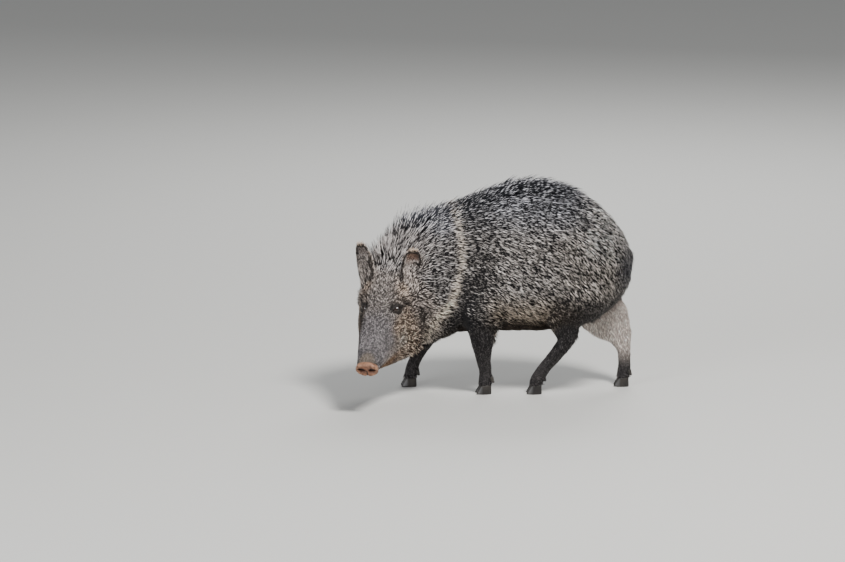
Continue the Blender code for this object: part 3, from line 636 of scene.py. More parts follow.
# The ear's cup, pit, rim and foot, in shares of its half width and its height.
earZonePlan = {
    "faced": (0.1, 0.45), "sides": (0.92, 0.75), "low": (0.2, 0.34), "high": (0.98, 0.92),
    "cupLow": (0.48, 0.8), "cupSides": (0.8, 0.55), "cupShift": 0.1, "pitAcross": (0.55, 0.22), "pitUp": (0.36, 0.09),
    "rimTop": (0.9, 0.96), "rimSides": (0.84, 0.94), "rimLow": (0.55, 0.75), "footSoft": 0.16,
    # The left ear's value, and the right ear's.
    "cup": (0.85, 0.25), "pit": (1.0, 0.2), "foot": (0.32, 0.6),
}


def earShares(points, normals, left, ear):
    # The brown cup, the dark pit at its foot painted as shade of the ear's opening, the pale rim, and the foot that
    # the head's hair covers.
    plan = earZonePlan
    spot, facing = earSpot(points)
    across, up, side = spot[:, 0], spot[:, 1], np.sign(left)
    faced = ear * ease(*plan["faced"], np.sum(normals * facing, axis=1))
    inside = faced * ease(*plan["sides"], np.abs(across)) * ease(*plan["low"], up) * ease(*plan["high"], up)
    cup = inside * ease(*plan["cupLow"], up) * ease(*plan["cupSides"], np.abs(across - plan["cupShift"] * side))
    pit = faced * hump(*plan["pitAcross"], across * side) * hump(*plan["pitUp"], up) * np.where(left > 0, *plan["pit"])
    rim = np.maximum(ease(*plan["rimTop"], up), ease(*plan["rimSides"], np.abs(across)) * ease(*plan["rimLow"], up))
    foot, soft = np.where(left > 0, *plan["foot"]), plan["footSoft"]
    return {
        "earUp": up, "earCup": cup * np.where(left > 0, *plan["cup"]), "earPit": pit, "earRim": ear * rim,
        "earFoot": ear * ease(foot + soft, foot - soft, up) * (1 - pit),
    }


def paint(coat, name, share):
    # Lays a mark over the coat, and shows its pale bands more often or less.
    dark, pale, more = marks[name]
    for key, tone, strength in zip(("dark", "pale"), (dark, pale), strengths.get(name, (1.0, 1.0))):
        if tone is not None:
            coat[key] = blend(coat[key], tone, share * strength)
    if name in bandShares:
        coat["much"] = coat["much"] * (1 - share) + bandShares[name] * share
    else:
        coat["much"] = coat["much"] + more * share


# How far the lie turns from along the back to down the side, and the lie on legs and ears.
# The pairs ending in "Round" say how far round the body, or the head, each change begins and is full.
liePlan = {
    "back": 0.08, "side": 0.42, "rump": 0.45, "brow": 0.05, "cheek": 1.25, "neck": 0.35,
    "sideRound": (0.25, 1.2), "rumpRound": (0.3, 1.0), "cheekRound": (0.15, 1.5), "neckRound": (0.6, 1.2),
    "underRound": (2.0, 1.7), "cheekBack": (0.06, 0.16), "leg": (0.18, 0.0, -1.0), "ear": (0.0, 0.15, 1.0),
}


def layCoat(points, normals, part, place, share):
    head = part["head"]
    around = (1 - place["crownward"]) * head + (1 - place["top"]) * (1 - head)
    flow = spineFlow(points)
    upward = unit(np.array(headUp)[None] * head[:, None] + np.array((0, 0, 1.0))[None] * (1 - head)[:, None])
    across = -onSurface(upward, normals)
    across = onSurface(across - flow * np.sum(across * flow, axis=1, keepdims=True), normals)
    side, rump, cheek, neck, under = (ease(*liePlan[name + "Round"], around)
                                      for name in ("side", "rump", "cheek", "neck", "under"))
    slope = liePlan["back"] + liePlan["side"] * side + liePlan["rump"] * share["rump"] * rump
    onHead = liePlan["brow"] + liePlan["cheek"] * cheek * ease(*liePlan["cheekBack"], place["back"])
    slope = slope * (1 - head) + head * onHead
    slope += liePlan["neck"] * part["neck"] * neck
    slope *= under
    onLeg, onEar = (onSurface(np.tile(np.array(liePlan[key]), (len(points), 1)), normals) for key in ("leg", "ear"))
    lie = unit(onSurface(flow + across * slope[:, None], normals))
    lie = blend(lie, unit(onLeg), np.clip(share["leg"] + part["tail"], 0, 1))
    return unit(blend(lie, onEar, part["ear"]))


# Lengths of the tufts in metres, and what each zone adds to them.
reachPlan = {
    "body": 0.029, "wave": 0.004, "mane": 0.018, "crest": 0.006, "belly": -0.006, "patch": -0.009, "haunch": -0.006,
    "face": 0.0046, "faceBack": 0.0062, "forehead": 0.003, "snout": -0.001, "leg": 0.0062, "legTop": 0.0078,
    "fringe": 0.0075, "innerThigh": 0.015, "collarLow": 0.005, "ear": 0.0098, "earUp": -0.0024, "earCup": -0.002,
    "earRim": 0.0045, "earFoot": 0.013, "ruffle": 0.014, "headCrown": 0.016, "crown": 0.014,
}
# Girth as a share of length, and how many tufts lie over one another.
girthPlan = {"body": 0.069, "face": 0.075, "leg": 0.058, "ear": 0.058, "earFoot": -0.045, "clip": (0.0008, 0.0036)}
coverPlan = {"body": 9.4, "face": 3.0, "rearFace": 3.0, "leg": 3.8, "ear": 8.4, "earCup": -3.0, "earFoot": 2.2}


def added(plan, share, *names):
    # The first name's value, and what each further zone adds to it.
    total = plan[names[0]]
    for name in names[1:]:
        total = total + plan[name] * share[name]
    return total


def tuftSizes(share, wave):
    head, ear, leg, face = share["head"], share["ear"], share["leg"], share["face"]
    reach = reachPlan["body"] + reachPlan["wave"] * wave
    for name in ("mane", "crest", "belly", "patch", "haunch"):
        reach = reach + reachPlan[name] * share[name]
    reach = reach * (1 - face) + added(reachPlan, share, "face", "faceBack", "forehead", "snout") * face
    reach = reach * (1 - leg) + added(reachPlan, share, "leg", "legTop", "fringe") * leg
    reach = reach * (1 - share["innerThigh"]) + reachPlan["innerThigh"] * share["innerThigh"]
    reach = reach + reachPlan["collarLow"] * share["collarLow"]
    reach = reach * (1 - ear) + added(reachPlan, share, "ear", "earUp", "earCup", "earRim", "earFoot") * ear
    thick = added(girthPlan, share, "body", "face", "leg") + added(girthPlan, share, "ear", "earFoot") * ear
    cover = coverPlan["body"] * (1 - head) + head * added(coverPlan, share, "face", "rearFace")
    cover = cover * (1 - leg) + coverPlan["leg"] * leg
    cover = cover * (1 - ear) + added(coverPlan, share, "ear", "earCup", "earFoot") * ear
    return reach, np.clip(reach * thick, *girthPlan["clip"]), cover


# Where the hair of the head stands out: place in the head's axes, reach round it, and how much.
ruffPlan = (
    ((0.206, 0.058, 0.03), 0.03, 1.0), ((0.246, 0.06, 0.044), 0.03, 1.0), ((0.275, 0.034, 0.075), 0.026, 1.0),
    ((0.222, 0.068, 0.000), 0.03, 0.9), ((0.125, 0.045, -0.08), 0.024, 0.8), ((0.15, 0.052, -0.09), 0.026, 1.2),
    ((0.18, 0.062, -0.1), 0.028, 1.3), ((0.21, 0.08, -0.105), 0.026, 1.1),
)


def ruffled(points):
    ruffle = np.zeros(len(points))
    for side in (1, -1):
        for (back, left, up), far, rise in ruffPlan:
            away = np.linalg.norm(points - np.array(headPoint(back, left * side, up)), axis=1)
            ruffle = np.maximum(ruffle, rise * hump(0.0, far, away))
    return ruffle


# How a tuft rises and droops, and how deep the skin lies under the coat's outline, in shares of the
# tuft's height. Standing hair, the mane, the crest and the patch on the rump change these.
standPlan = {
    "lift": 0.2, "liftMane": 0.17, "liftCrest": 0.06, "liftPatch": -0.04, "liftStand": 0.4, "earFoot": 0.75,
    "droop": 0.75, "droopStand": -0.45, "droopMane": -0.2, "depth": 1.1, "depthStand": -0.84, "depthMane": -0.16,
}
# Slow waves in the coat: scale, seed and share of each.
wavePlan = ((14.0, 1, 0.5), (34.0, 2, 0.35))
# Where dark and pale tufts stand in groups, and how early their bands start.
patchiness = {"cheek": 1.6, "face": 0.8, "innerThigh": 1.5, "upperRump": 0.5}
fieldPlan = {"early": 0.5, "mottle": 1.2, "wave": 0.12, "much": (0.03, 1.0), "tone": (0.004, 1)}


def tipHeight(lift, droop):
    # How high a tuft's tip stands, as a share of its length.
    slope = coatPlan["stand"] * lift
    return slope / np.sqrt(1 + slope ** 2) - droop * lift


def coatFields(points, normals, shares):
    # Everything about the coat at each point of the skin.
    part = {name: shares[:, i] for i, name in enumerate(fleshGroups)}
    place, share = zoneShares(points, normals, part)
    share.update(earShares(points, normals, place["left"], share["ear"]))
    wave = sum(drift(points, scale, seed) * amount for scale, seed, amount in wavePlan)
    dark, pale, much = marks["body"]
    size = len(points)
    coat = {"dark": np.tile(np.array(dark), (size, 1)), "pale": np.tile(np.array(pale), (size, 1)),
            "much": np.full(size, much)}
    for name in marks:
        if name in share:
            paint(coat, name, share[name])

    reach, girth, cover = tuftSizes(share, wave)
    ruffle, crown = ruffled(points) * (1 - share["ear"]), share["crown"]
    reach = reach + reachPlan["ruffle"] * ruffle * share["head"] + reachPlan["headCrown"] * crown * share["head"]
    reach = reach + reachPlan["crown"] * crown
    stand = np.maximum(np.maximum(crown, ruffle), standPlan["earFoot"] * share["earFoot"])
    mane = share["mane"]
    lift = standPlan["lift"] + standPlan["liftMane"] * mane + standPlan["liftCrest"] * share["crest"]
    lift = lift + standPlan["liftPatch"] * share["patch"]
    lift = np.maximum(lift, standPlan["lift"] + standPlan["liftStand"] * stand)
    droop = standPlan["droop"] + standPlan["droopStand"] * stand + standPlan["droopMane"] * mane
    sunk = standPlan["depth"] + standPlan["depthStand"] * stand + standPlan["depthMane"] * mane
    patchy = 1 + sum(amount * share[name] for name, amount in patchiness.items())
    return {
        "lie": layCoat(points, normals, part, place, share), "cover": cover, "bare": share["disc"],
        "dark": np.clip(coat["dark"], *fieldPlan["tone"]), "pale": np.clip(coat["pale"], *fieldPlan["tone"]),
        "much": np.clip(coat["much"] + fieldPlan["wave"] * wave, *fieldPlan["much"]),
        "early": np.maximum(share["nearCrown"], fieldPlan["early"] * share["cheek"]),
        "mottle": fieldPlan["mottle"] * share["cheek"], "speckle": coatPlan["contrast"] * patchy,
        "reach": reach, "girth": girth, "lift": lift, "droop": droop, "depth": reach * tipHeight(lift, droop) * sunk,
    }


# The eyes look out and a little up. The lids are the skin itself, drawn over each ball.
eyePlan = {
    "radius": 0.0124, "deep": 0.0056, "lid": 0.0012, "long": 0.0136, "tall": 0.0047, "sink": 0.0018, "sag": 0.001,
    "look": (-0.32, 0.78, 0.54), "tilt": -0.78, "cornea": 0.0008, "iris": 0.0066,
    "socket": (0.0138, 0.0198), "socketFront": -0.012, "soft": 0.0016,
    # Each fold of the lids: its height, how far from the gap it runs, and its reach.
    "folds": ((0.0009, 0.004, 0.001), (0.0006, 0.0075, 0.0012)), "rim": (0.0005, 0.0009, 0.0008),
    "gap": (0.0002, -0.0006), "around": (0.0192, 0.0138), "aroundFront": -0.016, "front": -0.01, "far": 0.03,
}
# Hair round the eyes: the dark oval and the streak behind it (middle and reach, twice), and the pale line. The oval is
# partly painted shade of the socket, and the streak is painted shade of a crease.
surroundPlan = {
    "front": -0.02, "oval": ((0.004, 0.0235), (0.0004, 0.0112)), "ovalEdge": (1.15, 0.8),
    "streak": ((-0.0235, 0.0085), (0.005, 0.0055)), "streakEdge": (1.25, 0.6), "streakShare": 0.9,
    "line": (-0.0125, 0.0022), "lineTilt": 0.1, "lineEnds": (0.02, 0.01), "lineMiddle": 0.002,
    "part": 1.6, "partMiddle": 0.008, "partReach": 0.01,
    "bare": (0.0016, 0.0008), "short": (0.001, 0.014), "reach": (0.36, 0.64), "girth": (0.6, 0.4),
    "lids": (0.0002, 0.0026),
}


def eyeAxes(centre):
    side = 1.0 if centre == eyeLeft else -1.0
    back, left, up = eyePlan["look"]
    look = (headBack * back + headLeft * left * side + headUp * up).normalized()
    ahead = -headBack - headUp * eyePlan["tilt"]
    ahead = (ahead - look * ahead.dot(look)).normalized()
    over = look.cross(ahead)
    over *= math.copysign(1.0, over.dot(headUp))
    return look, ahead, over


def eyeSpot(points, centre):
    # Along the lids towards the snout, up across them, out of the head, and how far off the lids' gap is.
    look, ahead, over = (np.array(axis) for axis in eyeAxes(centre))
    away = points - np.array(centre)
    along, across, out = away @ ahead, away @ over, away @ look
    half = eyePlan["tall"] * (1 - (along / eyePlan["long"]) ** 2)
    lower = across + eyePlan["sag"] * (along / eyePlan["long"]) ** 2
    return along, across, out, np.abs(lower) - half


def closeLids(points):
    radius, deep, soft = eyePlan["radius"], eyePlan["deep"], eyePlan["soft"]
    shell = radius + eyePlan["lid"]
    for centre in (eyeLeft, eyeRight):
        look = np.array(eyeAxes(centre)[0])
        along, across, out, gap = eyeSpot(points, centre)
        away = np.hypot(along, across)
        # The socket that the solids cut is filled by the surface that runs round it.
        near, far = eyePlan["socket"]
        ring = (away > near) & (away < far) & (out > eyePlan["socketFront"])
        terms = np.stack((np.ones_like(along), along, across, along ** 2, across ** 2, along * across), axis=1)
        level = terms @ np.linalg.lstsq(terms[ring], out[ring], rcond=None)[0]
        dome = np.sqrt(np.maximum(shell ** 2 - away ** 2, 0)) - deep
        ball = np.sqrt(np.maximum(radius ** 2 - away ** 2, 0)) - deep - eyePlan["sink"]
        closed = np.where(away < shell, np.logaddexp(level / soft, dome / soft) * soft, level)
        folds = sum(high * hump(middle, reach, gap) for high, middle, reach in eyePlan["folds"])
        high, middle, reach = eyePlan["rim"]
        wanted = closed - folds + high * hump(middle, reach, gap)
        inside = ease(*eyePlan["gap"], gap) * (np.abs(along) < eyePlan["long"])
        wanted = wanted * (1 - inside) + ball * inside
        around = ease(*eyePlan["around"], away) * (out > eyePlan["aroundFront"])
        points = points + look * (around * (wanted - out))[:, None]
    return points


def eyeGap(points):
    # How far each point is from the nearer eye's gap, out to a limit.
    nearest = np.full(len(points), eyePlan["far"])
    for centre in (eyeLeft, eyeRight):
        along, across, out, gap = eyeSpot(points, centre)
        beyond = np.maximum(np.abs(along) - eyePlan["long"], 0)
        gap = np.where(np.abs(along) < eyePlan["long"], gap, np.hypot(beyond, across))
        gap = np.where(out > eyePlan["front"], gap, eyePlan["far"])
        nearest = np.minimum(nearest, gap)
    return nearest


def eyeSurround(points):
    # Dark hair runs along the lids and back from their rear corner, over a pale line. The dark is partly the hair's
    # own colour and partly painted shade of the socket and of a crease behind it.
    plan = surroundPlan
    darker, paler = np.zeros(len(points)), np.zeros(len(points))
    for centre in (eyeLeft, eyeRight):
        along, across, out, _ = eyeSpot(points, centre)
        near = out > plan["front"]
        oval, streak = (np.hypot((along - first[0]) / first[1], (across - second[0]) / second[1])
                        for first, second in (plan["oval"], plan["streak"]))
        streak = plan["streakShare"] * ease(*plan["streakEdge"], streak)
        darker = np.maximum(darker, near * np.maximum(ease(*plan["ovalEdge"], oval), streak))
        under = hump(*plan["line"], across + plan["lineTilt"] * along)
        under = under * ease(*plan["lineEnds"], np.abs(along + plan["lineMiddle"]))
        paler = np.maximum(paler, near * under)
    return darker, paler


def roundEyes(points, normals):
    # Hair parts round each eye.
    push = np.zeros_like(points)
    for centre in (eyeLeft, eyeRight):
        away = points - np.array(centre)
        far = np.linalg.norm(away, axis=1)
        amount = surroundPlan["part"] * hump(surroundPlan["partMiddle"], surroundPlan["partReach"], far)
        push += unit(onSurface(away, normals)) * amount[:, None]
    return push


def shapeSkin(points, normals):
    # The lips meet in a groove, and the snout has shallow folds behind its disc.
    plan = mouthPlan
    gap, back = mouthGap(points)
    up = headSpot(points)[2]
    mouth = ease(*plan["front"], back) * ease(*plan["corner"], back)
    (deep, middle, reach), (high, edge, soft) = plan["groove"], plan["lipEdge"]
    groove = deep * hump(middle, reach, gap) - high * hump(edge, soft, np.abs(gap))
    high, waves = plan["folds"]
    folds = high * np.sin(back * waves) * hump(*plan["foldsBack"], back) * ease(*plan["foldsUp"], up)
    return points - normals * (groove * mouth + folds * ease(*plan["foldsFront"], back))[:, None]


skinMesh = makeSkinMesh()
outer = readPoints(skinMesh)
skinEdges = readEdges(skinMesh)
shares = averaged(groupShares(outer), skinEdges, *skinPlan["spread"])
# Where the ears meet the head, the crease between them is smoothed.
crease = np.clip(4 * shares[:, -1] * (1 - shares[:, -1]), 0, 1)[:, None] ** 0.5
for _ in range(skinPlan["creases"]):
    outer = outer + (averaged(outer, skinEdges, 1, skinPlan["spread"][1]) - outer) * crease
writePoints(skinMesh, outer)
outerNormals = readNormals(skinMesh)
print("skin:", len(outer), "points,", len(skinMesh.polygons), "faces")
fields = coatFields(outer, outerNormals, shares)
sink = averaged(fields["depth"][:, None], skinEdges, *skinPlan["depth"])
inner = closeLids(shapeSkin(outer - outerNormals * sink, outerNormals))
writePoints(skinMesh, inner)
fields["lie"] = unit(fields["lie"] + roundEyes(outer, outerNormals))

# Round the eyes the hair is short and fine, and none grows on the lids' edges or the lips.
lidGap, (lipGap, lipBack) = eyeGap(inner), mouthGap(inner)
always, more = surroundPlan["reach"]
nearEye = always + more * ease(*surroundPlan["short"], lidGap)
always, more = surroundPlan["girth"]
fields["reach"] *= nearEye
fields["girth"] *= always + more * nearEye
lips = hump(0.0, mouthPlan["lips"], lipGap) * ease(*mouthPlan["lipsFront"], lipBack)
lips = lips * ease(*mouthPlan["lipsCorner"], lipBack) * shares[:, 0]
bareLids, bareLips = ease(*surroundPlan["bare"], lidGap), (lips > mouthPlan["bare"]).astype(float)
fields["bare"] = np.maximum(np.maximum(fields["bare"], bareLids), bareLips)
aroundEye, underEye = eyeSurround(inner)
paint(fields, "underEye", underEye)
fields["much"] = np.clip(fields["much"], 0, 1)
paint(fields, "aroundEye", aroundEye)


def storeField(mesh, name, values, kind="FLOAT_VECTOR"):
    layer = mesh.attributes.new(name, kind, "POINT")
    slot = {"FLOAT": "value", "FLOAT_VECTOR": "vector"}[kind]
    layer.data.foreach_set(slot, np.ascontiguousarray(values, np.float32).ravel())


# The skin is darkened under long hair as painted shade of the coat over it, and has its own tones on the lips and the
# lids.
skinCoat = dict(fields)
paint(skinCoat, "lips", np.clip(lips * mouthPlan["tone"], 0, 1))
paint(skinCoat, "lids", hump(*surroundPlan["lids"], lidGap))
always, more = skinPlan["shade"]
shaded = (always + more * ease(*skinPlan["shadeReach"], fields["reach"]) * (1 - shares[:, -1]))[:, None]
storeField(skinMesh, "skinDark", skinCoat["dark"] * shaded)
storeField(skinMesh, "skinPale", skinCoat["pale"] * shaded)
storeField(skinMesh, "skinShare", fields["much"] * 0.6, kind="FLOAT")


def feed(links, sockets, values):
    # Each value is a number, a name, a colour or another node's socket.
    for socket, value in zip(sockets, values):
        if isinstance(value, (int, float, str)):
            socket.default_value = value
        elif isinstance(value, tuple):
            socket.default_value = (*value, 1.0)
        else:
            links.new(value, socket)


# Materials. Small helpers put the nodes together.
class Shader:
    def __init__(self, name):
        self.material = bpy.data.materials.new(name)
        self.material.use_nodes = True
        self.tree = self.material.node_tree
        self.base = next(node for node in self.tree.nodes if node.type == "BSDF_PRINCIPLED")

    def node(self, kind, **values):
        made = self.tree.nodes.new(kind)
        for key, value in values.items():
            setattr(made, key, value)
        return made

    def link(self, source, target):
        self.tree.links.new(source, target)

    def set(self, **values):
        for key, value in values.items():
            self.base.inputs[key.replace("_", " ")].default_value = value

    def colour(self, source):
        self.link(source, self.base.inputs["Base Color"])

    def attribute(self, name, output="Fac"):
        return self.node("ShaderNodeAttribute", attribute_name=name).outputs[output]

    def math(self, operation, first, second=0.0, third=0.0, clamp=False):
        made = self.node("ShaderNodeMath", operation=operation, use_clamp=clamp)
        feed(self.tree.links, made.inputs, (first, second, third))
        return made.outputs[0]

    def smooth(self, value, low, high):
        made = self.node("ShaderNodeMapRange", interpolation_type="SMOOTHSTEP")
        feed(self.tree.links, made.inputs, (value, low, high))
        return made.outputs[0]

    def mix(self, share, first, second):
        made = self.node("ShaderNodeMix", data_type="RGBA")
        colours = [socket for socket in made.inputs if socket.type == "RGBA"]
        feed(self.tree.links, (made.inputs[0], *colours), (share, first, second))
        return next(socket for socket in made.outputs if socket.type == "RGBA")

    def noise(self, scale, detail, stretch=(1, 1, 1)):
        spot = self.node("ShaderNodeTexCoord")
        turn = self.node("ShaderNodeMapping")
        turn.inputs["Scale"].default_value = stretch
        made = self.node("ShaderNodeTexNoise")
        made.inputs["Scale"].default_value = scale
        made.inputs["Detail"].default_value = detail
        self.link(spot.outputs["Object"], turn.inputs["Vector"])
        self.link(turn.outputs["Vector"], made.inputs["Vector"])
        return made.outputs["Fac"]

    def bump(self, height, distance):
        made = self.node("ShaderNodeBump")
        made.inputs["Distance"].default_value = distance
        made.inputs["Strength"].default_value = 1.0
        self.link(height, made.inputs["Height"])
        self.link(made.outputs["Normal"], self.base.inputs["Normal"])


def makeCoatMaterial():
    # Each tuft is dark at its root and tip, with a pale band between, and darker still towards its root as painted
    # shade inside the coat.
    shader = Shader("banded bristle")
    along = shader.attribute("along")
    band = shader.node("ShaderNodeSeparateXYZ")
    shader.link(shader.attribute("tuftBand", "Vector"), band.inputs[0])
    start, end, shade = band.outputs
    soft = 0.07
    rising, falling = (shader.smooth(along, shader.math("SUBTRACT", edge, soft), shader.math("ADD", edge, soft))
                       for edge in (start, end))
    banded = shader.math("SUBTRACT", rising, falling, clamp=True)
    dark, pale = (shader.attribute(name, "Color") for name in ("tuftDark", "tuftPale"))
    colour = shader.mix(banded, dark, pale)
    # Painted shade: the colour darkens towards the root, where the coat shades it.
    root = shader.smooth(along, -0.1, 0.45)
    depth = shader.math("MULTIPLY", shader.math("MULTIPLY_ADD", root, 0.65, 0.35), shade)
    dimmed = shader.node("ShaderNodeVectorMath", operation="SCALE")
    shader.link(colour, dimmed.inputs[0])
    shader.link(depth, dimmed.inputs["Scale"])
    shader.colour(dimmed.outputs["Vector"])
    shader.set(Roughness=0.52, Specular_IOR_Level=0.2)
    return shader.material


def makeSkinMaterial():
    shader = Shader("haired skin")
    streak = shader.noise(900.0, 3.0)
    cut = shader.smooth(streak, 0.36, 0.66)
    share = shader.math("MULTIPLY", cut, shader.attribute("skinShare"))
    dark, pale = (shader.attribute(name, "Color") for name in ("skinDark", "skinPale"))
    colour = shader.mix(share, dark, pale)
    shader.colour(colour)
    shader.set(Roughness=0.62, Specular_IOR_Level=0.3)
    shader.bump(shader.noise(520.0, 5.0), 0.0006)
    return shader.material


def makeHornMaterial():
    shader = Shader("hoof horn")
    streak = shader.noise(45.0, 5.0, (1.0, 1.0, 0.7))
    colour = shader.mix(shader.smooth(streak, 0.35, 0.72), (0.016, 0.014, 0.013), (0.042, 0.036, 0.031))
    shader.colour(colour)
    shader.set(Roughness=0.42, Specular_IOR_Level=0.45)
    shader.bump(shader.noise(180.0, 4.0, (0.25, 0.25, 1.0)), 0.0005)
    return shader.material


def makeEyeMaterial():
    shader = Shader("dark eye")
    ring = shader.attribute("gaze")
    streak = shader.noise(700.0, 3.0)
    iris = shader.mix(streak, (0.01, 0.005, 0.003), (0.03, 0.014, 0.007))
    pupil = shader.smooth(ring, 0.26, 0.3)
    colour = shader.mix(pupil, (0.003, 0.003, 0.003), iris)
    edge = shader.smooth(ring, 0.56, 0.66)
    colour = shader.mix(edge, colour, (0.03, 0.018, 0.014))
    shader.colour(colour)
    shader.set(Roughness=0.06, Specular_IOR_Level=0.5, Coat_Weight=0.5, Coat_Roughness=0.03)
    return shader.material


def makeNoseMaterial():
    shader = Shader("snout disc leather")
    wide, fine = shader.noise(130.0, 5.0), shader.noise(900.0, 3.0)
    hollow, rim = shader.attribute("hollow"), shader.attribute("rim")
    colour = shader.mix(shader.smooth(wide, 0.35, 0.65), (0.08, 0.03, 0.016), (0.25, 0.108, 0.058))
    pale = shader.math("MULTIPLY", rim, shader.smooth(wide, 0.25, 0.6))
    colour = shader.mix(pale, colour, (0.36, 0.19, 0.115))
    colour = shader.mix(shader.smooth(fine, 0.6, 0.8), colour, (0.36, 0.23, 0.165))
    # Painted shade: the nostrils and the groove down the disc are darkened to near black.
    colour = shader.mix(shader.smooth(hollow, 0.12, 0.6), colour, (0.018, 0.007, 0.005))
    shader.colour(colour)
    shader.set(Roughness=0.42, Specular_IOR_Level=0.45)
    shader.bump(shader.noise(650.0, 4.0), 0.0006)
    return shader.material


def makeFloorMaterial():
    shader = Shader("pale floor")
    shader.set(Base_Color=(0.62, 0.62, 0.6, 1.0), Roughness=0.9, Specular_IOR_Level=0.1)
    return shader.material


coatMaterial, skinMaterial = makeCoatMaterial(), makeSkinMaterial()
hornMaterial, eyeMaterial, noseMaterial = makeHornMaterial(), makeEyeMaterial(), makeNoseMaterial()
print("materials made")


# The coat: one tree turns a cloud of roots into tufts, and every piece of the coat uses it.
def makeCoatTree():
    tree = bpy.data.node_groups.new("coat tufts", "GeometryNodeTree")
    for name, kind in (("Geometry", "Geometry"), ("Sides", "Int"), ("Rings", "Int"), ("Flatness", "Float"),
                       ("Patch", "Float"), ("Belly", "Float"), ("Material", "Material")):
        tree.interface.new_socket(name, in_out="INPUT", socket_type="NodeSocket" + kind)
    tree.interface.new_socket("Geometry", in_out="OUTPUT", socket_type="NodeSocketGeometry")
    given = tree.nodes.new("NodeGroupInput").outputs

    def add(kind, output=0, inputs=(), **settings):
        # Makes a node, feeds its inputs, and gives back one of its outputs.
        made = tree.nodes.new(kind)
        for key, value in settings.items():
            setattr(made, key, value)
        for name, value in dict(inputs).items():
            feed(tree.links, [made.inputs[name]], [value])
        return made.outputs[output]

    def calc(operation, *values):
        return add("ShaderNodeMath", 0, enumerate(values), operation=operation)

    def combine(*values):
        return add("ShaderNodeCombineXYZ", 0, enumerate(values))

    def split(vector):
        made = tree.nodes.new("ShaderNodeSeparateXYZ")
        tree.links.new(vector, made.inputs[0])
        return made.outputs

    def field(name, kind="FLOAT_VECTOR"):
        return add("GeometryNodeInputNamedAttribute", "Attribute", {"Name": name}, data_type=kind)

    def store(geometry, name, value, kind="FLOAT", domain="POINT"):
        given = {"Geometry": geometry, "Name": name, "Value": value}
        return add("GeometryNodeStoreNamedAttribute", "Geometry", given, data_type=kind, domain=domain)

    # One bristle, a metre tall and two across, fuller a third of the way up.
    cone = add("GeometryNodeMeshCone", "Mesh", {
        "Vertices": given["Sides"], "Side Segments": given["Rings"],
        "Radius Top": 0.0, "Radius Bottom": 1.0, "Depth": 1.0}, fill_type="NGON")
    x, y, z = split(add("GeometryNodeInputPosition"))
    bristle = store(store(cone, "along", z), "turn", calc("MULTIPLY_ADD", y, 0.5, 0.5))
    wide = calc("MULTIPLY_ADD", z, given["Belly"], 0.75)
    shaped = combine(calc("MULTIPLY", x, wide), calc("MULTIPLY", y, wide), z)
    bristle = add("GeometryNodeSetPosition", 0, {"Geometry": bristle, "Position": shaped})

    # Stood on each root, along the lie of the coat, with its flat side to the skin.
    turn = add("FunctionNodeAlignRotationToVector", 0, {"Vector": field("tuftAxis")}, axis="Z")
    turn = add("FunctionNodeAlignRotationToVector", 0, {"Rotation": turn, "Vector": field("tuftFace")},
               axis="X", pivot_axis="Z")
    girth, reach = field("tuftGirth", "FLOAT"), field("tuftReach", "FLOAT")
    tufts = add("GeometryNodeInstanceOnPoints", "Instances", {
        "Points": given["Geometry"], "Instance": bristle, "Rotation": turn,
        "Scale": combine(calc("MULTIPLY", girth, given["Flatness"]), girth, reach)})
    tufts = add("GeometryNodeRealizeInstances", 0, {"Geometry": tufts})

    # The tip bends back towards the skin, and each tuft lies on its own patch of the unwrap.
    along = field("along", "FLOAT")
    bend = add("ShaderNodeVectorMath", 0, {0: field("tuftBend"), "Scale": calc("MULTIPLY", along, along)},
               operation="SCALE")
    tufts = add("GeometryNodeSetPosition", 0, {"Geometry": tufts, "Offset": bend})
    root = split(field("rootSpot"))
    across, upward = (calc("MULTIPLY_ADD", calc("SUBTRACT", share, 0.5), given["Patch"], middle)
                      for share, middle in ((field("turn", "FLOAT"), root[0]), (along, root[1])))
    tufts = store(tufts, "OFBake", combine(across, upward, 0.0), "FLOAT2", "CORNER")
    for name in ("turn", "rootSpot", "tuftAxis", "tuftFace", "tuftBend", "tuftGirth", "tuftReach"):
        tufts = add("GeometryNodeRemoveAttribute", 0, {"Geometry": tufts, "Name": name})
    tufts = add("GeometryNodeSetShadeSmooth", 0, {"Geometry": tufts})
    tufts = add("GeometryNodeSetMaterial", 0, {"Geometry": tufts, "Material": given["Material"]})
    tree.links.new(tufts, tree.nodes.new("NodeGroupOutput").inputs["Geometry"])
    return tree


coatTree = makeCoatTree()


def grow(name, cloud):
    # Runs the tree over a cloud of roots, and keeps the tufts as a plain mesh.
    piece = linkPiece(name, cloud)
    tufts = piece.modifiers.new("tufts", "NODES")
    tufts.node_group = coatTree
    sockets = {item.name: item.identifier for item in coatTree.interface.items_tree if item.in_out == "INPUT"}
    for label in ("Sides", "Rings", "Flatness", "Patch", "Belly"):
        tufts[sockets[label]] = coatPlan[label.lower()]
    tufts[sockets["Material"]] = coatMaterial
    mesh = evaluated(piece)
    piece.modifiers.clear()
    piece.data = mesh
    mesh.name = name
    return piece


# The skin's triangles, with the part of the coat that each one carries.
corners = readPoints(skinMesh)
innerNormals = readNormals(skinMesh)
skinMesh.calc_loop_triangles()
triangles = np.empty(len(skinMesh.loop_triangles) * 3, np.int32)
skinMesh.loop_triangles.foreach_get("vertices", triangles)
triangles = triangles.reshape(-1, 3)
ends = corners[triangles]
areas = np.linalg.norm(np.cross(ends[:, 1] - ends[:, 0], ends[:, 2] - ends[:, 0]), axis=1) / 2
groupOf = shares[triangles].mean(axis=1).argmax(axis=1)
centreX, centreY, _ = bodySpot(ends.mean(axis=1))
centreLeft = headSpot(ends.mean(axis=1))[1]


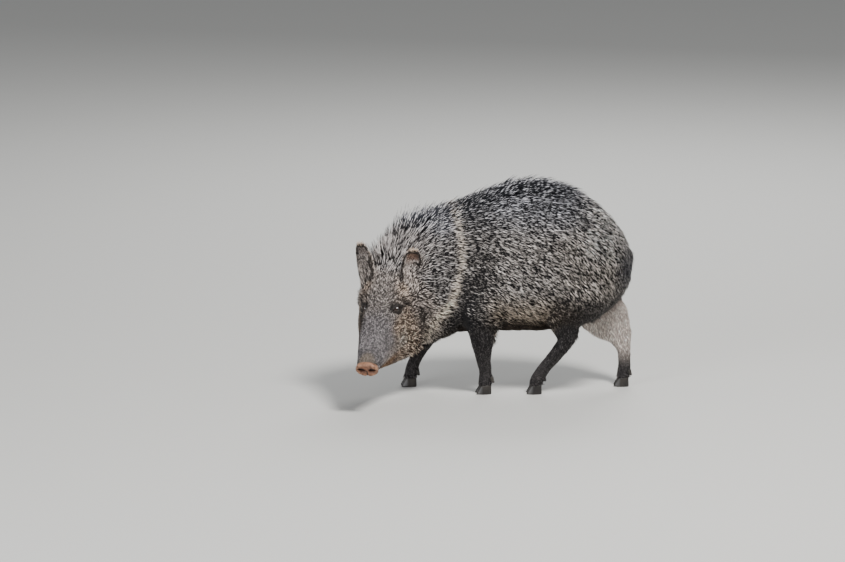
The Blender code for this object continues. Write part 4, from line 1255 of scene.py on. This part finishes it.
def unwrapped(chosen):
    # Lays the chosen triangles out flat, and gives the place of every corner.
    used, places = np.unique(triangles[chosen], return_inverse=True)
    sheet = bpy.data.meshes.new("sheet")
    sheet.from_pydata(corners[used].tolist(), [], places.reshape(-1, 3).tolist())
    piece = linkPiece("sheet", sheet)
    bpy.context.view_layer.objects.active = piece
    piece.select_set(True)
    bpy.ops.object.mode_set(mode="EDIT")
    bpy.ops.mesh.select_all(action="SELECT")
    bpy.ops.uv.smart_project(angle_limit=1.15, island_margin=0.006)
    bpy.ops.object.mode_set(mode="OBJECT")
    flat = np.empty(len(sheet.loops) * 2, np.float32)
    sheet.uv_layers.active.data.foreach_get("uv", flat)
    bpy.data.objects.remove(piece)
    bpy.data.meshes.remove(sheet)
    return flat.reshape(-1, 3, 2)


def sowCoat(name, chosen, seed):
    random = np.random.default_rng(coatPlan["seed"] + seed)
    chosen = np.nonzero(chosen)[0]
    sheet = unwrapped(chosen)
    mean = {key: fields[key][triangles[chosen]].mean(axis=1) for key in ("reach", "girth", "bare", "cover")}
    each = mean["reach"] * mean["girth"] * coatPlan["crowd"]
    ladder = np.cumsum(areas[chosen] * mean["cover"] / each * (mean["bare"] < 0.5))
    total = int(ladder[-1])
    steps = (np.arange(total) + random.random(total)) * (ladder[-1] / max(total, 1))
    hit = np.minimum(np.searchsorted(ladder, steps), len(chosen) - 1)
    first, second = random.random(total), random.random(total)
    over = first + second > 1
    first, second = np.where(over, 1 - first, first), np.where(over, 1 - second, second)
    weights = np.stack((1 - first - second, first, second), axis=1)
    ends = triangles[chosen][hit]

    def at(values):
        return np.einsum("ij,ij...->i...", weights, values[ends])

    def varied(key, chance):
        always, more = coatPlan[key]
        return always + more * chance

    here = {key: at(values) for key, values in fields.items()}
    place, normal, lie = at(corners), unit(at(innerNormals)), unit(here["lie"])
    spot = np.einsum("ij,ijk->ik", weights, sheet[hit])
    swirl = drift(place, coatPlan["swirlScale"], 5) * coatPlan["swirl"] + random.normal(0, coatPlan["stray"], total)
    lie = unit(lie * np.cos(swirl)[:, None] + np.cross(normal, lie) * np.sin(swirl)[:, None])
    clump = drift(place, coatPlan["clumpScale"], 6)
    length = here["reach"] * varied("length", random.random(total)) * (1 + coatPlan["lengthClump"] * clump)
    high = here["lift"] * varied("height", random.random(total)) * (1 + coatPlan["heightClump"] * clump)
    axis = unit(lie + normal * (coatPlan["stand"] * high)[:, None])
    bend = -normal * (length * high * here["droop"])[:, None]
    # A tuft shows its band by chance, more often where the coat is pale.
    chance = random.random(total)
    speckles = here["speckle"] * drift(place, coatPlan["speck"], 8)
    speckles += here["mottle"] * drift(place, coatPlan["blot"], 9)
    shown = chance < here["much"] + speckles
    start = np.where(shown, varied("bandStart", random.random(total)), varied("darkStart", random.random(total)))
    start += coatPlan["earlyStart"] * here["early"]
    always, more = coatPlan["band"]
    width = always + more * here["much"] * (0.5 + random.random(total)) + coatPlan["earlyBand"] * here["early"]
    width = np.where(shown, width, coatPlan["darkBand"])
    shade = varied("shade", random.random(total)) + coatPlan["shadeClump"] * clump
    tint = 1 + coatPlan["tint"] * random.standard_normal((total, 1))
    girth = here["girth"] * 0.5 * varied("girth", random.random(total))
    root = np.minimum(coatPlan["root"], length * coatPlan["rootShare"])
    cloud = bpy.data.meshes.new(name)
    cloud.vertices.add(total)
    writePoints(cloud, place - normal * root[:, None])
    for label, values in (
            ("tuftAxis", axis), ("tuftFace", normal), ("tuftBend", bend), ("tuftDark", here["dark"]),
            ("tuftPale", np.clip(here["pale"] * tint, *fieldPlan["tone"])),
            ("rootSpot", np.column_stack((spot, np.zeros(total)))),
            ("tuftBand", np.column_stack((start, start + width, shade)))):
        storeField(cloud, label, values)
    storeField(cloud, "tuftReach", length, kind="FLOAT")
    storeField(cloud, "tuftGirth", girth * np.where(shown, coatPlan["fine"], coatPlan["coarse"]), kind="FLOAT")
    piece = grow(name, cloud)
    print(f"{name}: {total} tufts, {sum(len(face.vertices) - 2 for face in piece.data.polygons)} triangles")
    return piece


# The trunk's coat is cut into pieces along the body, the face's into two sides.
cutPlan = {"cuts": (-1.0, -0.035, 0.085, 0.2, 1.0), "labels": ("shoulder", "ribs", "loin", "rump")}
group = {name: groupOf == number for number, name in enumerate(fleshGroups)}
leftSide = centreY < 0
coatPieces = []
for side, onSide in (("left", leftSide), ("right", ~leftSide)):
    for label, low, high in zip(cutPlan["labels"], cutPlan["cuts"][:-1], cutPlan["cuts"][1:]):
        chosen = (group["trunk"] | group["tail"]) & onSide & (centreX >= low) & (centreX < high)
        coatPieces.append((sowCoat(f"{side}_{label}_coat", chosen, len(coatPieces)), "coat"))
coatPieces.append((sowCoat("neck_coat", group["neck"], 20), "coat"))
for side, onSide in (("left", centreLeft >= 0), ("right", centreLeft < 0)):
    coatPieces.append((sowCoat(f"{side}_face_coat", group["head"] & onSide, len(coatPieces)), "face"))
for end in ("fore", "hind"):
    coatPieces.append((sowCoat(f"{end}leg_coat", group[end + "leg"], len(coatPieces)), "leg"))
coatPieces.append((sowCoat("ear_coat", group["ear"], 30), "ear"))

skin = linkPiece("skin", skinMesh)
finish(skinMesh, skinMaterial)
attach(skin, "root")
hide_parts(*[node for names in fleshGroups.values() for node in names])
for piece, slot in coatPieces:
    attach(piece, "root")
print("coat:", len(coatPieces), "pieces")


# Each eye is a ball with a raised cornea, set behind its lids.
def makeEye(name, centre, node):
    look, ahead, _ = eyeAxes(centre)
    body = bmesh.new()
    bmesh.ops.create_uvsphere(body, u_segments=40, v_segments=28, radius=eyePlan["radius"])
    mesh = meshFrom(body, name)
    points = readPoints(mesh)
    ring = np.hypot(points[:, 0], points[:, 1])
    front = points[:, 2] > 0
    points[:, 2] += front * eyePlan["cornea"] * ease(eyePlan["iris"], 0.0, ring)
    storeField(mesh, "gaze", np.where(front, ring / eyePlan["radius"], 1.0), kind="FLOAT")
    axes = np.array([ahead, look.cross(ahead), look])
    writePoints(mesh, points @ axes + np.array(centre - look * eyePlan["deep"]))
    piece = linkPiece(name, mesh)
    finish(mesh, eyeMaterial)
    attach(piece, "root")
    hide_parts(node)


makeEye("left_eyeball", eyeLeft, "eye_left")
makeEye("right_eyeball", eyeRight, "eye_right")

# Hooves and dewclaws are the solids' own, rounded and drawn to shape.
clawPlan = {
    "hoofVoxel": 0.0012, "dewVoxel": 0.0008, "rounds": 10, "toe": 0.36, "front": 0.24, "crown": 0.14,
    "tipDrop": 0.0022, "toeFrom": 0.1, "floor": 0.0001, "rootLevel": 0.75, "rootShift": (0.45, 0.55),
}


def shapeHoof(points):
    # The toe narrows and its front slopes, and the top is a little drawn in.
    low, high = points.min(axis=0), points.max(axis=0)
    middle = (low + high) / 2
    flat = points[:, :2] - middle[:2]
    axis = np.linalg.svd(flat, full_matrices=False)[2][0]
    axis = axis * -math.copysign(1.0, axis[0])
    over = np.array((-axis[1], axis[0]))
    ahead, aside = flat @ axis, flat @ over
    reach = ahead / np.abs(ahead).max()
    toe = ease(clawPlan["toeFrom"], 1.0, reach)
    level = (points[:, 2] - low[2]) / (high[2] - low[2])
    aside = aside * (1 - clawPlan["toe"] * toe) * (1 - clawPlan["crown"] * level)
    ahead = ahead - np.abs(ahead).max() * clawPlan["front"] * level * ease(0.0, 1.0, reach)
    moved = middle[:2] + ahead[:, None] * axis + aside[:, None] * over
    down = points[:, 2] - clawPlan["tipDrop"] * toe * level
    return np.column_stack((moved, np.maximum(down, low[2])))


def shapeDewclaw(points):
    # The root leans in to the leg's skin, and the tip hangs free.
    level = (points[:, 2] - points[:, 2].min()) / np.ptp(points[:, 2])
    root = points[level > clawPlan["rootLevel"]].mean(axis=0)
    nearest = corners[np.argmin(np.linalg.norm(corners - root, axis=1))]
    shift = (nearest - root) * (1, 1, 0)
    always, more = clawPlan["rootShift"]
    return points + shift * (always + more * level)[:, None]


def makeClaws(name, nodes, voxel, shape):
    body = bmesh.new()
    for node in nodes:
        mesh = remeshed(merged([node], name), voxel)
        points = shape(averaged(readPoints(mesh), readEdges(mesh), clawPlan["rounds"], skinPlan["pull"]))
        points[:, 2] = np.maximum(points[:, 2], clawPlan["floor"])
        writePoints(mesh, points)
        body.from_mesh(mesh)
        bpy.data.meshes.remove(mesh)
    mesh = meshFrom(body, name)
    piece = linkPiece(name, mesh)
    finish(mesh, hornMaterial)
    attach(piece, "root")
    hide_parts(*nodes)


makeClaws("hooves", [name for name in clawNodes if name.startswith("hoof")], clawPlan["hoofVoxel"], shapeHoof)
makeClaws("dewclaws", [name for name in clawNodes if name.startswith("dew")], clawPlan["dewVoxel"], shapeDewclaw)

# The snout's disc: a raised rim, two slanting nostrils and a groove down to its lower edge.
discPlan = {
    "halfWidth": 0.026, "halfHeight": 0.0182, "low": -0.004, "front": 0.0088, "root": 0.005, "square": 2.3,
    "rings": 46, "around": 144, "rim": 0.0014, "rimFrom": (0.9, 0.45), "edge": 0.0024, "edgeFrom": 0.82,
    "taper": 0.1, "notch": (0.0016, 0.004), "groove": (0.0016, 0.0016), "grooveUp": (0.002, -0.004),
    "nostril": {"side": 0.0126, "up": 0.0008, "long": 0.0098, "tall": 0.0046, "deep": 0.0056, "slant": 12,
                "wall": (1.08, 0.62), "lip": (1.28, 0.22), "lipHigh": 0.0008},
    # dark: how much of the nostrils' painted shade the groove takes.
    "dark": 0.7, "paleRim": (0.62, 0.9),
}
# Rings behind the front edge: depth, and size as a share of the edge.
discPlan["behind"] = ((0.0045 - discPlan["front"], 1.012), (-0.0015, 0.995), (discPlan["root"], 0.93))


def discFront():
    # The front face ring by ring: how far back, left and up each point is, and its tones: the painted shade of the
    # nostrils and groove, and the pale rim.
    rings, around, nostril = discPlan["rings"], discPlan["around"], discPlan["nostril"]
    share, angle = np.meshgrid(np.linspace(0, 1, rings + 1)[1:], np.arange(around) / around * 2 * np.pi, indexing="ij")
    cosine, sine, power = np.cos(angle), np.sin(angle), 2 / discPlan["square"]
    left = share * discPlan["halfWidth"] * np.sign(cosine) * np.abs(cosine) ** power
    up = share * discPlan["halfHeight"] * np.sign(sine) * np.abs(sine) ** power
    left = left * (1 - discPlan["taper"] * ease(0.2, 1.0, -sine))
    high, reach = discPlan["notch"]
    up = up + high * share * hump(0.0, reach, left) * (sine < 0)
    beyond = np.clip(share - discPlan["edgeFrom"], 0, 1) / (1 - discPlan["edgeFrom"])
    front = discPlan["front"] - discPlan["edge"] * (1 - np.sqrt(np.clip(1 - beyond ** 2, 0, 1)))
    front -= discPlan["rim"] * ease(*discPlan["rimFrom"], share)
    hollow = np.zeros_like(left)
    for side in (1, -1):
        slant = math.radians(nostril["slant"]) * side
        across, high = left - side * nostril["side"], up - nostril["up"]
        along = across * math.cos(slant) + high * math.sin(slant)
        over = high * math.cos(slant) - across * math.sin(slant)
        near = np.sqrt((along / nostril["long"]) ** 2 + (over / nostril["tall"]) ** 2)
        hollow = np.maximum(hollow, ease(*nostril["wall"], near))
        front += nostril["lipHigh"] * hump(*nostril["lip"], near)
    deep, reach = discPlan["groove"]
    groove = hump(0.0, reach, left) * ease(*discPlan["grooveUp"], up)
    front -= nostril["deep"] * hollow + deep * groove
    return -front, left, up, np.maximum(hollow, groove * discPlan["dark"]), ease(*discPlan["paleRim"], share)


def makeDisc():
    around = discPlan["around"]
    back, left, up, hollow, rim = discFront()
    points = [np.stack((back, left, up), axis=-1).reshape(-1, 3)]
    for depth, size in discPlan["behind"]:
        points.append(np.column_stack((np.full(around, depth), left[-1] * size, up[-1] * size)))
    points.append(np.array([[back[0].mean(), 0, 0], [discPlan["root"], 0, 0]]))
    spots = np.concatenate(points)
    place = (np.array(headStart) + spots[:, :1] * np.array(headBack) + spots[:, 1:2] * np.array(headLeft)
             + (spots[:, 2:] + discPlan["low"]) * np.array(headUp))
    rows = discPlan["rings"] + len(discPlan["behind"])
    middle, rear = rows * around, rows * around + 1
    turns = [(step, (step + 1) % around) for step in range(around)]
    faces = [(row * around + this, row * around + then, (row + 1) * around + then, (row + 1) * around + this)
             for row in range(rows - 1) for this, then in turns]
    faces += [(middle, then, this) for this, then in turns]
    faces += [(rear, (rows - 1) * around + this, (rows - 1) * around + then) for this, then in turns]
    body = bmesh.new()
    vertices = [body.verts.new(point) for point in place]
    for face in faces:
        body.faces.new([vertices[i] for i in face])
    bmesh.ops.recalc_face_normals(body, faces=body.faces[:])
    mesh = meshFrom(body, "snout_disc")
    extra = np.zeros(len(spots) - left.size)
    storeField(mesh, "hollow", np.concatenate((hollow.ravel(), extra)), kind="FLOAT")
    storeField(mesh, "rim", np.concatenate((rim.ravel(), extra + 1)), kind="FLOAT")
    finish(mesh, noseMaterial)
    piece = linkPiece("snout_disc", mesh)
    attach(piece, "root")
    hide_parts("nose_disc")


makeDisc()
print("eyes, hooves and snout disc made")


# The stage: a pale floor, soft lights, and a camera a little above the animal's eyes.
stagePlan = {
    "floor": 24.0, "world": 0.28, "sky": (0.95, 0.97, 1.0, 1.0),
    "target": (-0.1699, 0.1393, 0.2464), "distance": 12.0, "elevation": 11.0, "lens": 220.0,
    "lights": (((1.4, -2.2, 3.9), 1.2, 262.0, (1.0, 0.98, 0.95)), ((-3.0, -3.4, 1.0), 2.6, 130.0, (0.95, 0.97, 1.0)),
               ((0.6, 3.2, 2.8), 2.2, 90.0, (1.0, 1.0, 1.0))),
}


def makeStage():
    body = bmesh.new()
    bmesh.ops.create_grid(body, x_segments=1, y_segments=1, size=stagePlan["floor"] / 2)
    mesh = meshFrom(body, "floor")
    floor = linkPiece("floor", mesh)
    mesh.materials.append(makeFloorMaterial())
    floor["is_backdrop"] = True
    target = Vector(stagePlan["target"])
    for number, (place, size, power, colour) in enumerate(stagePlan["lights"]):
        light = bpy.data.lights.new(f"softbox {number + 1}", "AREA")
        light.shape, light.size, light.energy, light.color = "DISK", size, power, colour
        lamp = bpy.data.objects.new(light.name, light)
        lamp.location = place
        lamp.rotation_euler = (target - Vector(place)).to_track_quat("-Z", "Y").to_euler()
        bpy.context.scene.collection.objects.link(lamp)
    world = bpy.data.worlds.new("studio")
    bpy.context.scene.world = world
    world.use_nodes = True
    sky = world.node_tree.nodes["Background"].inputs
    sky["Color"].default_value, sky["Strength"].default_value = stagePlan["sky"], stagePlan["world"]
    lift = math.radians(stagePlan["elevation"])
    camera = bpy.data.objects.new("camera", bpy.data.cameras.new("camera"))
    camera.data.lens = stagePlan["lens"]
    camera.data.sensor_width = 36.0
    camera.data.clip_end = 100.0
    camera.location = target + Vector((0, -math.cos(lift), math.sin(lift))) * stagePlan["distance"]
    camera.rotation_euler = (target - camera.location).to_track_quat("-Z", "Y").to_euler()
    bpy.context.scene.collection.objects.link(camera)
    bpy.context.scene.camera = camera


makeStage()
low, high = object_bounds()
print("stage set")
